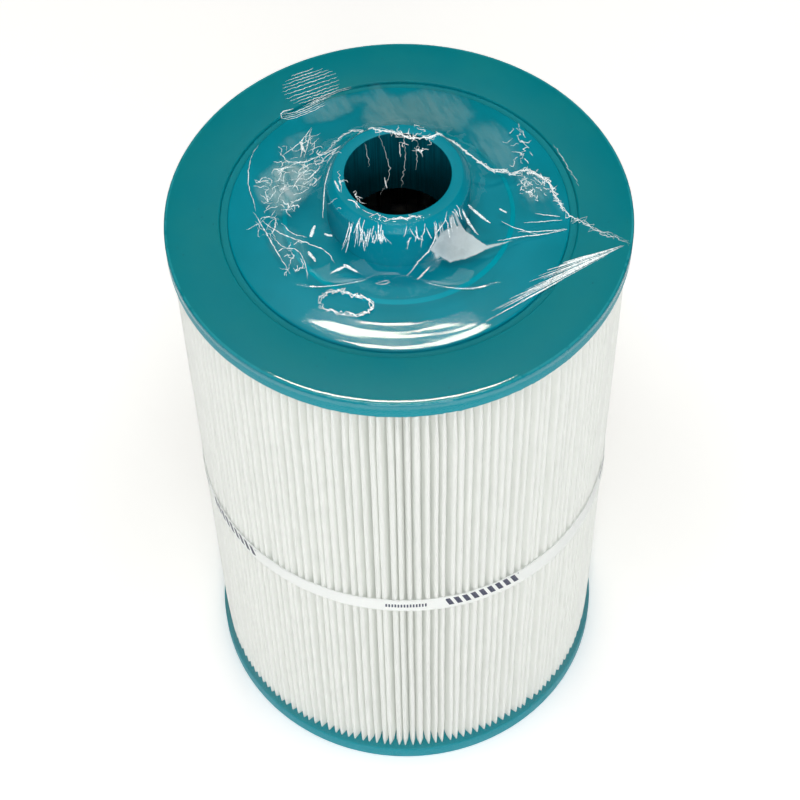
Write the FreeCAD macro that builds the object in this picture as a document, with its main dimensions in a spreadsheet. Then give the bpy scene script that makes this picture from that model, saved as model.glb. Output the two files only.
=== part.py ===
import FreeCAD, Part
import math
import os
import Sketcher

# Pleated filter cartridge for a pool or spa, in millimetres. It stands on its closed end cap at z = 0,
# with its axis along +Z and its collar at the top. Every piece is one object of the document, and its
# sizes come from the Dimensions sheet.

DIMENSIONS = [
    # alias, millimetres (or a count, or degrees), what it is
    ("cap_radius", 107.15, "outer radius of both end caps"),
    ("body_height", 346.0, "from the resting face to the face of the top end cap"),
    ("cap_thickness", 9.3, "thickness of each cast end cap"),
    ("cap_edge_round", 1.0, "rounding of the caps' free edges"),
    ("flange_radius", 78.2, "moulded adapter's flange, let into the top end cap"),
    ("flange_thickness", 4.0, "thickness of the adapter's flange"),
    ("flange_edge_round", 0.9, "rounding of the flange's and the collar's edges"),
    ("groove_width", 3.4, "open groove between the flange and the cast ring"),
    ("groove_depth", 1.7, "depth of that groove"),
    ("boss_ledge", 18.6, "flat ledge of the raised boss around the collar"),
    ("boss_slope", 2.0, "width of the boss's sloping edge"),
    ("boss_height", 1.1, "height of the boss above the flange"),
    ("bore_radius", 23.85, "bore that the filter's standpipe enters"),
    ("bore_wall", 3.0, "wall of the bore tube"),
    ("bore_below_face", 11.0, "how far the bore tube reaches below the cap's face"),
    ("collar_height", 27.0, "collar's rim above the face of the top end cap"),
    ("collar_wall", 5.55, "how far the collar stands out beyond the bore tube"),
    ("chamfer_width", 3.2, "width of the rim's chamfer"),
    ("chamfer_rise", 3.6, "height of the rim's chamfer"),
    ("spigot_gap", 1.65, "between the bore tube and the ring that centres the core"),
    ("spigot_wall", 2.85, "wall of the rings that the core slips over"),
    ("spigot_length", 6.0, "length of those rings"),
    ("core_clearance", 0.15, "radial clearance between the rings and the core"),
    ("core_wall", 3.5, "wall of the perforated core"),
    ("core_lap", 6.0, "length of the half-lap joint between the two core sections"),
    ("lap_clearance", 0.1, "clearance inside the half-lap joint"),
    ("core_border", 12.0, "plain band at each end of a core section"),
    ("window_ring", 7.0, "height of the ring between two rows of windows"),
    ("window_width", 7.0, "width of a window in the core"),
    ("window_rows", 6, "rows of windows in a section"),
    ("window_columns", 16, "windows around the core"),
    ("plug_margin", 12.0, "moulded bottom plug's flange beyond the core"),
    ("plug_thickness", 4.0, "thickness of the bottom plug"),
    ("pleat_count", 160, "pleats around the cartridge"),
    ("tip_inset", 2.15, "pleat tips inside the caps' outer radius"),
    ("tip_width", 2.1, "width of a pleat at its rounded tip"),
    ("tip_round", 0.65, "radial height of the tip's rounding"),
    ("valley_depth", 9.5, "depth of the open valley between two pleats"),
    ("sheet_thickness", 0.55, "thickness of the filter cloth"),
    ("media_clearance", 0.4, "between the inner folds and the core"),
    ("seam_width", 12.0, "radial width of the strip that joins the cloth's two ends"),
    ("seam_thickness", 0.7, "thickness of that strip"),
    ("seam_inset", 13.0, "strip's outer edge inside the pleat tips"),
    ("seam_pleat", 45, "number of the pleat that holds the strip, counted from +X"),
    ("band_height", 10.0, "width of the band around the pleats"),
    ("band_level", 169.5, "height of the band's middle"),
    ("band_thickness", 0.55, "thickness of the band"),
    ("band_clearance", 0.05, "between the pleat tips and the band"),
    ("band_lap_angle", 12.0, "angle over which the band's two ends overlap"),
    ("band_lap_turn", 104.0, "angle from +X at which the overlap begins"),
    ("film_clearance", 0.3, "between the shrink film and what it wraps"),
    ("film_thickness", 0.2, "thickness given to the shrink film"),
    ("film_skirt", 24.0, "how far the film hangs below the face of the top end cap"),
]

# Places and sizes that several pieces share, as expressions on the sheet.
FACE = "(Dimensions.body_height)"
UNDERSIDE = "(Dimensions.body_height - Dimensions.cap_thickness)"
SEAT = "(Dimensions.body_height - Dimensions.flange_thickness)"
RIM = "(Dimensions.body_height + Dimensions.collar_height)"
BOSS_FACE = "(Dimensions.body_height + Dimensions.boss_height)"
BORE_TUBE = "(Dimensions.bore_radius + Dimensions.bore_wall)"
COLLAR = f"({BORE_TUBE} + Dimensions.collar_wall)"
BOSS = f"({COLLAR} + Dimensions.boss_ledge)"
SPIGOT_INNER = f"({BORE_TUBE} + Dimensions.spigot_gap)"
SPIGOT = f"({SPIGOT_INNER} + Dimensions.spigot_wall)"
CORE_INNER = f"({SPIGOT} + Dimensions.core_clearance)"
CORE_OUTER = f"({CORE_INNER} + Dimensions.core_wall)"
CORE_MIDDLE = f"({CORE_INNER} + Dimensions.core_wall / 2)"
CORE_JOINT = f"((Dimensions.plug_thickness + {SEAT}) / 2)"
PLUG = f"({CORE_OUTER} + Dimensions.plug_margin)"
MEDIA_HEIGHT = f"({UNDERSIDE} - Dimensions.cap_thickness)"
MEDIA_INNER = f"({CORE_OUTER} + Dimensions.media_clearance)"
TIPS = "(Dimensions.cap_radius - Dimensions.tip_inset)"
GROOVE_OUTER = "(Dimensions.flange_radius + Dimensions.groove_width)"


def make_sheet(doc):
    """Puts every driving dimension in a sheet: its meaning, its value and its alias."""
    sheet = doc.addObject("Spreadsheet::Sheet", "Dimensions")
    for row, (alias, value, meaning) in enumerate(DIMENSIONS, start=1):
        sheet.set(f"A{row}", meaning)
        sheet.set(f"B{row}", str(value))
        sheet.setAlias(f"B{row}", alias)
    doc.recompute()
    return sheet


def value_of(sheet, expression):
    """The number that an expression on the sheet gives."""
    result = sheet.evalExpression(expression)
    return float(getattr(result, "Value", result))


def origin_item(body, role):
    """A body's own origin plane or axis, found by its role."""
    return next(item for item in body.Origin.OriginFeatures if item.Role == role)


def new_body(doc, label):
    """A body whose label names the piece."""
    body = doc.addObject("PartDesign::Body", label)
    body.Label = label
    return body


def profile_sketch(sheet, body, name, corners):
    """A closed outline of straight edges on the XZ plane, each corner held by two expressions."""
    sketch = body.newObject("Sketcher::SketchObject", name)
    sketch.AttachmentSupport = [(origin_item(body, "XZ_Plane"), "")]
    sketch.MapMode = "FlatFace"
    places = [FreeCAD.Vector(value_of(sheet, x), value_of(sheet, y), 0) for x, y in corners]
    for start, end in zip(places, places[1:] + places[:1]):
        sketch.addGeometry(Part.LineSegment(start, end), False)
    for edge in range(len(places)):
        following = (edge + 1) % len(places)
        sketch.addConstraint(Sketcher.Constraint("Coincident", edge, 2, following, 1))
    for edge, (x, y) in enumerate(corners):
        for kind, expression in (("DistanceX", x), ("DistanceY", y)):
            held = Sketcher.Constraint(kind, -1, 1, edge, 1, value_of(sheet, expression))
            index = sketch.addConstraint(held)
            sketch.setExpression(f"Constraints[{index}]", expression)
    return sketch


def revolve(body, sketch, name, angle="360"):
    """Turns an outline about the cartridge's axis."""
    turned = body.newObject("PartDesign::Revolution", name)
    turned.Profile = sketch
    turned.ReferenceAxis = (sketch, ["V_Axis"])
    turned.setExpression("Angle", angle)
    return turned


def circles_at(shape, radius, height):
    """Names of the circular edges of a given radius and height."""
    names = []
    for number, edge in enumerate(shape.Edges, start=1):
        curve = edge.Curve
        if not isinstance(curve, Part.Circle):
            continue
        if abs(curve.Radius - radius) < 1e-4 and abs(curve.Center.z - height) < 1e-4:
            names.append(f"Edge{number}")
    return names


def round_edges(doc, sheet, body, name, places, radius):
    """Rounds the circular edges at the given radii and heights."""
    doc.recompute()
    base = body.Tip
    edges = []
    for edge_radius, height in places:
        edges += circles_at(base.Shape, value_of(sheet, edge_radius), value_of(sheet, height))
    fillet = body.newObject("PartDesign::Fillet", name)
    fillet.Base = (base, edges)
    fillet.setExpression("Radius", radius)
    return fillet


def make_bottom_end_cap(doc, sheet):
    """Cast cap that the pleats' lower ends stand in, with a recess for the moulded plug."""
    body = new_body(doc, "bottom_end_cap")
    outline = [
        (PLUG, "0"),
        ("Dimensions.cap_radius", "0"),
        ("Dimensions.cap_radius", "Dimensions.cap_thickness"),
        (CORE_OUTER, "Dimensions.cap_thickness"),
        (CORE_OUTER, "Dimensions.plug_thickness"),
        (PLUG, "Dimensions.plug_thickness"),
    ]
    revolve(body, profile_sketch(sheet, body, "bottom_cap_outline", outline), "bottom_cap_disc")
    edges = [("Dimensions.cap_radius", "0"), ("Dimensions.cap_radius", "Dimensions.cap_thickness")]
    round_edges(doc, sheet, body, "bottom_cap_rounding", edges, "Dimensions.cap_edge_round")
    return body


def make_top_end_cap(doc, sheet):
    """Cast cap over the pleats' upper ends, with a stepped recess for the adapter's flange."""
    body = new_body(doc, "top_end_cap")
    groove_floor = f"({FACE} - Dimensions.groove_depth)"
    outline = [
        (CORE_OUTER, UNDERSIDE),
        ("Dimensions.cap_radius", UNDERSIDE),
        ("Dimensions.cap_radius", FACE),
        (GROOVE_OUTER, FACE),
        (GROOVE_OUTER, groove_floor),
        ("Dimensions.flange_radius", groove_floor),
        ("Dimensions.flange_radius", SEAT),
        (CORE_OUTER, SEAT),
    ]
    revolve(body, profile_sketch(sheet, body, "top_cap_outline", outline), "top_cap_disc")
    edges = [
        ("Dimensions.cap_radius", FACE),
        ("Dimensions.cap_radius", UNDERSIDE),
        (GROOVE_OUTER, FACE),
    ]
    round_edges(doc, sheet, body, "top_cap_rounding", edges, "Dimensions.cap_edge_round")
    return body


def make_adapter_flange(doc, sheet):
    """Moulded disc let into the top end cap, with a raised boss and, below, the core's ring."""
    body = new_body(doc, "adapter_flange")
    spigot_end = f"({SEAT} - Dimensions.spigot_length)"
    outline = [
        (BORE_TUBE, SEAT),
        (SPIGOT_INNER, SEAT),
        (SPIGOT_INNER, spigot_end),
        (SPIGOT, spigot_end),
        (SPIGOT, SEAT),
        ("Dimensions.flange_radius", SEAT),
        ("Dimensions.flange_radius", FACE),
        (f"({BOSS} + Dimensions.boss_slope)", FACE),
        (BOSS, BOSS_FACE),
        (BORE_TUBE, BOSS_FACE),
    ]
    revolve(body, profile_sketch(sheet, body, "flange_outline", outline), "flange_disc")
    edges = [("Dimensions.flange_radius", FACE)]
    round_edges(doc, sheet, body, "flange_rounding", edges, "Dimensions.flange_edge_round")
    return body


def make_collar(doc, sheet):
    """Moulded collar standing on the flange's boss, its bore tube passing down through the flange."""
    body = new_body(doc, "collar")
    tube_end = f"({FACE} - Dimensions.bore_below_face)"
    chamfer_foot = f"({RIM} - Dimensions.chamfer_rise)"
    outline = [
        ("Dimensions.bore_radius", tube_end),
        (BORE_TUBE, tube_end),
        (BORE_TUBE, BOSS_FACE),
        (COLLAR, BOSS_FACE),
        (COLLAR, chamfer_foot),
        (f"({COLLAR} - Dimensions.chamfer_width)", RIM),
        ("Dimensions.bore_radius", RIM),
    ]
    revolve(body, profile_sketch(sheet, body, "collar_outline", outline), "collar_tube")
    edges = [(COLLAR, chamfer_foot)]
    round_edges(doc, sheet, body, "collar_rounding", edges, "Dimensions.flange_edge_round")
    return body


def make_bottom_plug(doc, sheet):
    """Moulded disc that closes the lower end and centres the core."""
    body = new_body(doc, "bottom_plug")
    spigot_top = "(Dimensions.plug_thickness + Dimensions.spigot_length)"
    half = [
        (SPIGOT, "Dimensions.plug_thickness"),
        (SPIGOT, spigot_top),
        (SPIGOT_INNER, spigot_top),
        (SPIGOT_INNER, "Dimensions.plug_thickness"),
    ]
    disc = body.newObject("PartDesign::AdditiveCylinder", "plug_disc")
    disc.setExpression("Radius", PLUG)
    disc.setExpression("Height", "Dimensions.plug_thickness")
    revolve(body, profile_sketch(sheet, body, "plug_ring_outline", half), "plug_ring")
    return body


def make_core_section(doc, sheet, label, low, high, lap_outside):
    """Perforated tube from low to high, stepped at the end that meets the other section."""
    body = new_body(doc, label)
    if lap_outside:
        step = f"({low} + Dimensions.core_lap)"
        inside = f"({CORE_MIDDLE} + Dimensions.lap_clearance)"
        outline = [
            (inside, low),
            (CORE_OUTER, low),
            (CORE_OUTER, high),
            (CORE_INNER, high),
            (CORE_INNER, step),
            (inside, step),
        ]
    else:
        step = f"({high} - Dimensions.core_lap)"
        outline = [
            (CORE_INNER, low),
            (CORE_OUTER, low),
            (CORE_OUTER, step),
            (CORE_MIDDLE, step),
            (CORE_MIDDLE, high),
            (CORE_INNER, high),
        ]
    revolve(body, profile_sketch(sheet, body, f"{label}_outline", outline), f"{label}_tube")

    room = f"({high} - {low} - 2 * Dimensions.core_border"
    room += " - (Dimensions.window_rows - 1) * Dimensions.window_ring)"
    window_height = f"({room} / Dimensions.window_rows)"
    sill = f"({low} + Dimensions.core_border)"
    half_width = "(Dimensions.window_width / 2)"
    window = [
        (f"(-{half_width})", sill),
        (half_width, sill),
        (half_width, f"({sill} + {window_height})"),
        (f"(-{half_width})", f"({sill} + {window_height})"),
    ]
    doc.recompute()
    whole = body.Tip.Shape.Volume
    cut = body.newObject("PartDesign::Pocket", f"{label}_window")
    cut.Profile = profile_sketch(sheet, body, f"{label}_window_outline", window)
    cut.setExpression("Length", f"{CORE_OUTER} + Dimensions.core_wall")

    rows = body.newObject("PartDesign::LinearPattern", f"{label}_window_rows")
    rows.Direction = (origin_item(body, "Z_Axis"), [""])
    step_up = f"({window_height} + Dimensions.window_ring)"
    rows.setExpression("Length", f"(Dimensions.window_rows - 1) * {step_up}")
    rows.setExpression("Occurrences", "Dimensions.window_rows")
    columns = body.newObject("PartDesign::PolarPattern", f"{label}_window_columns")
    columns.Axis = (origin_item(body, "Z_Axis"), [""])
    columns.Angle = 360
    columns.setExpression("Occurrences", "Dimensions.window_columns")
    grid = body.newObject("PartDesign::MultiTransform", f"{label}_windows")
    grid.Originals = [cut]
    grid.Transformations = [rows, columns]
    body.Tip = grid
    doc.recompute()
    per_window = value_of(sheet, f"Dimensions.window_width * Dimensions.core_wall * {window_height}")
    count = value_of(sheet, "Dimensions.window_rows * Dimensions.window_columns")
    removed = whole - body.Shape.Volume
    if removed < 0.9 * per_window * count:
        raise RuntimeError(f"{label}: the windows removed only {removed:.0f} mm3")
    return body


def offset_line(start, end, distance):
    """The line through two points, moved sideways to its right, as a point and a direction."""
    run = math.hypot(end[0] - start[0], end[1] - start[1])
    along = ((end[0] - start[0]) / run, (end[1] - start[1]) / run)
    return (start[0] + along[1] * distance, start[1] - along[0] * distance), along


def meeting_point(first, second):
    """Where two lines cross, each given as a point and a direction."""
    (ax, ay), (ux, uy) = first
    (bx, by), (vx, vy) = second
    reach = ((bx - ax) * vy - (by - ay) * vx) / (ux * vy - uy * vx)
    return ax + reach * ux, ay + reach * uy


def mirrored(points):
    """A pleat's points from one side of its middle line to the other side."""
    return [(along, -across) for along, across in reversed(points)] + points


def turned(points, angle):
    """Points of one pleat, along and across its middle line, turned into place about the axis."""
    cosine, sine = math.cos(angle), math.sin(angle)
    return [FreeCAD.Vector(x * cosine - y * sine, x * sine + y * cosine, 0) for x, y in points]


def closed_wire(points):
    """One closed wire of straight edges."""
    return Part.makePolygon(points + points[:1])


def make_pleated_media(doc, sheet):
    """One folded sheet: bulged pleats with open valleys outside, touching each other further in."""
    count = int(value_of(sheet, "Dimensions.pleat_count"))
    tips = value_of(sheet, TIPS)
    inner = value_of(sheet, MEDIA_INNER)
    thickness = value_of(sheet, "Dimensions.sheet_thickness")
    tip_half = value_of(sheet, "Dimensions.tip_width / 2")
    tip_round = value_of(sheet, "Dimensions.tip_round")
    half_pitch = math.pi / count
    valley = tips - value_of(sheet, "Dimensions.valley_depth")
    crown = (tips, tip_half / 2)
    shoulder = (tips - tip_round, tip_half)
    floor = (valley * math.cos(half_pitch), valley * math.sin(half_pitch))

    flank = offset_line(shoulder, floor, -thickness)
    wall = offset_line((0.0, 0.0), floor, thickness)
    inner_crown = (tips - thickness, tip_half / 2)
    inner_shoulder = meeting_point(flank, ((tips - tip_round - thickness / 2, 0.0), (0.0, 1.0)))
    inner_floor = meeting_point(flank, wall)
    inner_fold = meeting_point(wall, ((inner, 0.0), (0.0, 1.0)))

    outside, inside = [], []
    for pleat in range(count):
        angle = 2 * half_pitch * pleat
        outside += turned(mirrored([crown, shoulder]) + [floor], angle)
        inside += turned(mirrored([inner_crown, inner_shoulder, inner_floor, inner_fold]), angle)
    section = doc.addObject("Part::Feature", "pleat_section")
    wires = [closed_wire(outside), closed_wire(inside)]
    section.Shape = Part.makeFace(wires, "Part::FaceMakerBullseye")
    section.Placement = FreeCAD.Placement(
        FreeCAD.Vector(0, 0, value_of(sheet, "Dimensions.cap_thickness")), FreeCAD.Rotation()
    )
    return extrude(doc, "pleated_media", section, MEDIA_HEIGHT)


def make_media_seam_strip(doc, sheet):
    """Strip inside one pleat, against its cloth, that joins the two ends of the sheet."""
    half_pitch = math.pi / value_of(sheet, "Dimensions.pleat_count")
    outer = value_of(sheet, f"{TIPS} - Dimensions.seam_inset")
    inner = outer - value_of(sheet, "Dimensions.seam_width")
    cloth = value_of(sheet, "Dimensions.sheet_thickness")
    far_side = (math.cos(half_pitch), math.sin(half_pitch))
    near = offset_line((0.0, 0.0), far_side, cloth)
    far = offset_line((0.0, 0.0), far_side, cloth + value_of(sheet, "Dimensions.seam_thickness"))
    across = (0.0, 1.0)
    corners = [
        meeting_point(near, ((inner, 0.0), across)),
        meeting_point(near, ((outer, 0.0), across)),
        meeting_point(far, ((outer, 0.0), across)),
        meeting_point(far, ((inner, 0.0), across)),
    ]
    angle = 2 * half_pitch * value_of(sheet, "Dimensions.seam_pleat")
    section = doc.addObject("Part::Feature", "seam_section")
    section.Shape = Part.Face(closed_wire(turned(corners, angle)))
    section.Placement = FreeCAD.Placement(
        FreeCAD.Vector(0, 0, value_of(sheet, "Dimensions.cap_thickness")), FreeCAD.Rotation()
    )
    return extrude(doc, "media_seam_strip", section, MEDIA_HEIGHT)


def extrude(doc, label, section, height):
    """Raises a flat section along the axis."""
    raised = doc.addObject("Part::Extrusion", label)
    raised.Label = label
    raised.Base = section
    raised.DirMode = "Custom"
    raised.Dir = FreeCAD.Vector(0, 0, 1)
    raised.Solid = True
    raised.setExpression("LengthFwd", height)
    return raised


def make_pleat_band(doc, sheet):
    """Strap around the pleat tips, doubled where its ends are joined."""
    body = new_body(doc, "pleat_band")
    low = "(Dimensions.band_level - Dimensions.band_height / 2)"
    high = "(Dimensions.band_level + Dimensions.band_height / 2)"
    inner = f"({TIPS} + Dimensions.band_clearance)"
    outer = f"({inner} + Dimensions.band_thickness)"
    doubled = f"({outer} + Dimensions.band_thickness)"
    ring = [(inner, low), (outer, low), (outer, high), (inner, high)]
    lap = [(inner, low), (doubled, low), (doubled, high), (inner, high)]
    revolve(body, profile_sketch(sheet, body, "band_outline", ring), "band_ring")
    revolve(body, profile_sketch(sheet, body, "lap_outline", lap), "band_lap", "Dimensions.band_lap_angle")
    turn = value_of(sheet, "Dimensions.band_lap_turn")
    body.Placement = FreeCAD.Placement(
        FreeCAD.Vector(), FreeCAD.Rotation(FreeCAD.Vector(0, 0, 1), turn)
    )
    return body


def make_shrink_film(doc, sheet):
    """Clear film over the top end: a skirt round the cap, the top face, the collar and its rim."""
    body = new_body(doc, "shrink_film")
    gap = "Dimensions.film_clearance"
    skin = "(Dimensions.film_clearance + Dimensions.film_thickness)"
    lip = "(Dimensions.bore_radius + Dimensions.film_clearance)"
    slope_foot = f"({BOSS} + Dimensions.boss_slope)"
    chamfer_foot = f"({RIM} - Dimensions.chamfer_rise)"
    chamfer_top = f"({COLLAR} - Dimensions.chamfer_width)"
    hem = f"({FACE} - Dimensions.film_skirt)"

    def layer(lift):
        """The film's path from its hem to the bore, a given distance off what it wraps."""
        return [
            (f"(Dimensions.cap_radius + {lift})", hem),
            (f"(Dimensions.cap_radius + {lift})", f"({FACE} + {lift})"),
            (f"({slope_foot} + {lift} / 2)", f"({FACE} + {lift})"),
            (f"({BOSS} + {lift} / 2)", f"({BOSS_FACE} + {lift})"),
            (f"({COLLAR} + {lift})", f"({BOSS_FACE} + {lift})"),
            (f"({COLLAR} + {lift})", f"({chamfer_foot} + {lift} / 2)"),
            (f"({chamfer_top} + {lift} / 2)", f"({RIM} + {lift})"),
            (lip, f"({RIM} + {lift})"),
        ]

    outline = layer(gap) + layer(skin)[::-1]
    revolve(body, profile_sketch(sheet, body, "film_outline", outline), "film_skin")
    return body


def check(doc, pieces):
    """Stops if any object failed to build or any piece isn't one valid solid."""
    for item in doc.Objects:
        if "Invalid" in item.State or "Error" in item.State:
            raise RuntimeError(f"{item.Label} did not build: {item.State}")
    for piece in pieces:
        shape = piece.Shape
        if shape.isNull() or not shape.isValid() or len(shape.Solids) != 1:
            raise RuntimeError(f"{piece.Label} is not one valid solid")


def main():
    """Builds every piece and writes each to its own STEP file."""
    doc = FreeCAD.newDocument("filter_cartridge")
    sheet = make_sheet(doc)
    pieces = [
        make_bottom_end_cap(doc, sheet),
        make_bottom_plug(doc, sheet),
        make_core_section(doc, sheet, "core_lower", "Dimensions.plug_thickness", CORE_JOINT, False),
        make_core_section(
            doc, sheet, "core_upper", f"({CORE_JOINT} - Dimensions.core_lap)", SEAT, True
        ),
        make_pleated_media(doc, sheet),
        make_media_seam_strip(doc, sheet),
        make_pleat_band(doc, sheet),
        make_top_end_cap(doc, sheet),
        make_adapter_flange(doc, sheet),
        make_collar(doc, sheet),
        make_shrink_film(doc, sheet),
    ]
    doc.recompute()
    check(doc, pieces)
    os.makedirs("parts", exist_ok=True)
    for piece in pieces:
        piece.Shape.exportStep(f"parts/{piece.Label}.step")
        box = piece.Shape.BoundBox
        volume = piece.Shape.Volume / 1000
        print(f"{piece.Label:18s} volume {volume:8.2f} cm3  z {box.ZMin:7.2f} to {box.ZMax:7.2f}")


main()
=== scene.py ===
"""Looks of a pleated filter cartridge in its clear shrink film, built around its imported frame."""

import logging
import math
from dataclasses import dataclass
from enum import Enum
from typing import Any, Sequence

import bpy
import numpy as np
from mathutils import Matrix, Vector, noise


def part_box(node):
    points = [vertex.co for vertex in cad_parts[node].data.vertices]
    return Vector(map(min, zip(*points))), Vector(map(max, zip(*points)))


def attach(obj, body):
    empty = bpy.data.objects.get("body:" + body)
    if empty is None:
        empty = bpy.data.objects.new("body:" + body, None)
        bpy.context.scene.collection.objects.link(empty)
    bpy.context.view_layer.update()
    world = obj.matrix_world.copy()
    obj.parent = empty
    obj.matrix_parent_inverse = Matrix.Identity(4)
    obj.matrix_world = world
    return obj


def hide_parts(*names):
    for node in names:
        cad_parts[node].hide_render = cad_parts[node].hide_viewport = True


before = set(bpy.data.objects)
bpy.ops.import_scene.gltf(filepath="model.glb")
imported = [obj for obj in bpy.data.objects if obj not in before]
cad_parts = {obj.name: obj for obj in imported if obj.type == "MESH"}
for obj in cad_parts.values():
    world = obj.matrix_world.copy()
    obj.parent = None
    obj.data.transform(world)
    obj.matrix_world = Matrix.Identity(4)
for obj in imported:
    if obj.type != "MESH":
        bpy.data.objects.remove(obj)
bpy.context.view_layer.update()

MM = 0.001
BODY = "root"
Colour = tuple[float, float, float]
Outline = list[tuple[float, float]]
log = logging.getLogger("cartridge")


# ---------------------------------------------------------------- shader expressions


class Socket:
    """A shader socket that can stand in a Python expression."""

    def __init__(self, graph: "Graph", link: bpy.types.NodeSocket) -> None:
        """Keeps the graph it belongs to and the socket itself."""
        self.graph = graph
        self.link = link

    def math(self, operation: str, *others: Any) -> "Socket":
        """A Math node on this value and others.

        Args:
            operation: the Math node's operation.
            others: numbers or sockets that follow this one.

        Returns:
            The node's result.
        """
        terms = dict(enumerate((self, *others)))
        return self.graph.add("ShaderNodeMath", {"operation": operation}, terms)

    def __add__(self, other: Any) -> "Socket":
        """Sum."""
        return self.math("ADD", other)

    __radd__ = __add__

    def __sub__(self, other: Any) -> "Socket":
        """Difference."""
        return self.math("SUBTRACT", other)

    def __rsub__(self, other: float) -> "Socket":
        """Difference from a number."""
        return self.graph.add("ShaderNodeMath", {"operation": "SUBTRACT"}, {0: other, 1: self})

    def __mul__(self, other: Any) -> "Socket":
        """Product."""
        return self.math("MULTIPLY", other)

    __rmul__ = __mul__

    def __truediv__(self, other: Any) -> "Socket":
        """Quotient."""
        return self.math("DIVIDE", other)

    def __pow__(self, other: Any) -> "Socket":
        """Power."""
        return self.math("POWER", other)

    def at_most(self, other: Any) -> "Socket":
        """The smaller of two values."""
        return self.math("MINIMUM", other)

    def at_least(self, other: Any) -> "Socket":
        """The larger of two values."""
        return self.math("MAXIMUM", other)

    def step(self, low: float, high: float) -> "Socket":
        """Rises smoothly from 0 at low to 1 at high, or falls where high is the smaller.

        Args:
            low: value at which the result is 0.
            high: value at which the result is 1.

        Returns:
            The smooth step.
        """
        settings = {"interpolation_type": "SMOOTHSTEP"}
        if low <= high:
            return self.graph.add("ShaderNodeMapRange", settings, {0: self, 1: low, 2: high})
        ends = {0: self, 1: high, 2: low, 3: 1.0, 4: 0.0}
        return self.graph.add("ShaderNodeMapRange", settings, ends)

    def within(self, low: float, high: float, soft: float) -> "Socket":
        """1 between low and high, fading to 0 over a soft edge outside them.

        Args:
            low: start of the full stretch.
            high: end of the full stretch.
            soft: width of each fade.

        Returns:
            The window.
        """
        return self.step(low - soft, low) * self.step(high + soft, high)


class Graph:
    """A material's node tree, added to one node at a time."""

    def __init__(self, name: str) -> None:
        """Starts an empty material of that name."""
        self.material = bpy.data.materials.new(name)
        self.material.use_nodes = True
        self.tree = self.material.node_tree
        self.tree.nodes.clear()

    def add(self, kind: str, settings: dict | None = None, inputs: dict | None = None,
            out: int | str = 0) -> Socket:
        """Adds any node.

        Args:
            kind: the node's type.
            settings: its own properties, a ramp's stops among them, which are set first.
            inputs: values or sockets, by input name or index.
            out: the output that is returned.

        Returns:
            One output of the new node.
        """
        node = self.tree.nodes.new(kind)
        for key, value in (settings or {}).items():
            if key == "stops":
                for _ in range(len(value) - 2):
                    node.color_ramp.elements.new(0.5)
                for element, (place, colour) in zip(node.color_ramp.elements, value):
                    element.position = place
                    element.color = (*colour, 1.0)
            else:
                setattr(node, key, value)
        for key, value in (inputs or {}).items():
            if isinstance(value, Socket):
                self.tree.links.new(value.link, node.inputs[key])
            else:
                node.inputs[key].default_value = value
        return Socket(self, node.outputs[out])

    def place(self) -> tuple[Socket, Socket, Socket]:
        """The object's own coordinates in millimetres."""
        where = self.add("ShaderNodeTexCoord", out="Object")
        parts = [self.add("ShaderNodeSeparateXYZ", None, {0: where}, out=axis) for axis in range(3)]
        return tuple(part * (1 / MM) for part in parts)

    def vector(self, x: Any, y: Any, z: Any = 0.0) -> Socket:
        """A vector from three values."""
        return self.add("ShaderNodeCombineXYZ", None, {0: x, 1: y, 2: z})

    def noise(self, vector: Socket, scale: float, detail: float = 2.0, rough: float = 0.5) -> Socket:
        """Noise from 0 to 1 over a vector in millimetres.

        Args:
            vector: where it is read.
            scale: blobs in a millimetre.
            detail: how many finer layers it has.
            rough: how strong the finer layers are.

        Returns:
            The noise.
        """
        sizes = {"Vector": vector, "Scale": scale, "Detail": detail, "Roughness": rough}
        return self.add("ShaderNodeTexNoise", None, sizes)

    def cells(self, vector: Socket, scale: float, feature: str, out: str = "Distance") -> Socket:
        """A Voronoi pattern over a vector in millimetres.

        Args:
            vector: where it is read.
            scale: cells in a millimetre.
            feature: F1 or DISTANCE_TO_EDGE.
            out: Distance or Color.

        Returns:
            The chosen output.
        """
        settings = {"feature": feature}
        return self.add("ShaderNodeTexVoronoi", settings, {"Vector": vector, "Scale": scale}, out)

    def mix(self, factor: Any, first: Any, second: Any) -> Socket:
        """A blend of two colours.

        Args:
            factor: 0 for the first colour, 1 for the second.
            first: a colour or a socket.
            second: a colour or a socket.

        Returns:
            The blended colour.
        """
        colours = [(*c, 1.0) if isinstance(c, tuple) else c for c in (first, second)]
        ends = {0: factor, 6: colours[0], 7: colours[1]}
        return self.add("ShaderNodeMix", {"data_type": "RGBA"}, ends, out=2)

    def bump(self, height: Socket, strength: float, distance: float) -> Socket:
        """Shading bumps from a height.

        Args:
            height: the height, from 0 to 1.
            strength: how much of it shows.
            distance: millimetres that a height of 1 stands for.

        Returns:
            The bent normal.
        """
        sizes = {"Strength": strength, "Distance": distance * MM, "Height": height}
        return self.add("ShaderNodeBump", None, sizes)

    def finish(self, **sockets: Any) -> bpy.types.Material:
        """Ends the tree in a Principled shader.

        Args:
            sockets: the shader's inputs, with _ for a space.

        Returns:
            The material.
        """
        inputs = {key.replace("_", " "): value for key, value in sockets.items()}
        for key in ("Base Color", "Emission Color"):
            if isinstance(inputs.get(key), tuple):
                inputs[key] = (*inputs[key], 1.0)
        shader = self.add("ShaderNodeBsdfPrincipled", None, inputs)
        end = self.tree.nodes.new("ShaderNodeOutputMaterial")
        self.tree.links.new(shader.link, end.inputs["Surface"])
        return self.material


# ---------------------------------------------------------------- finishes


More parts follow.
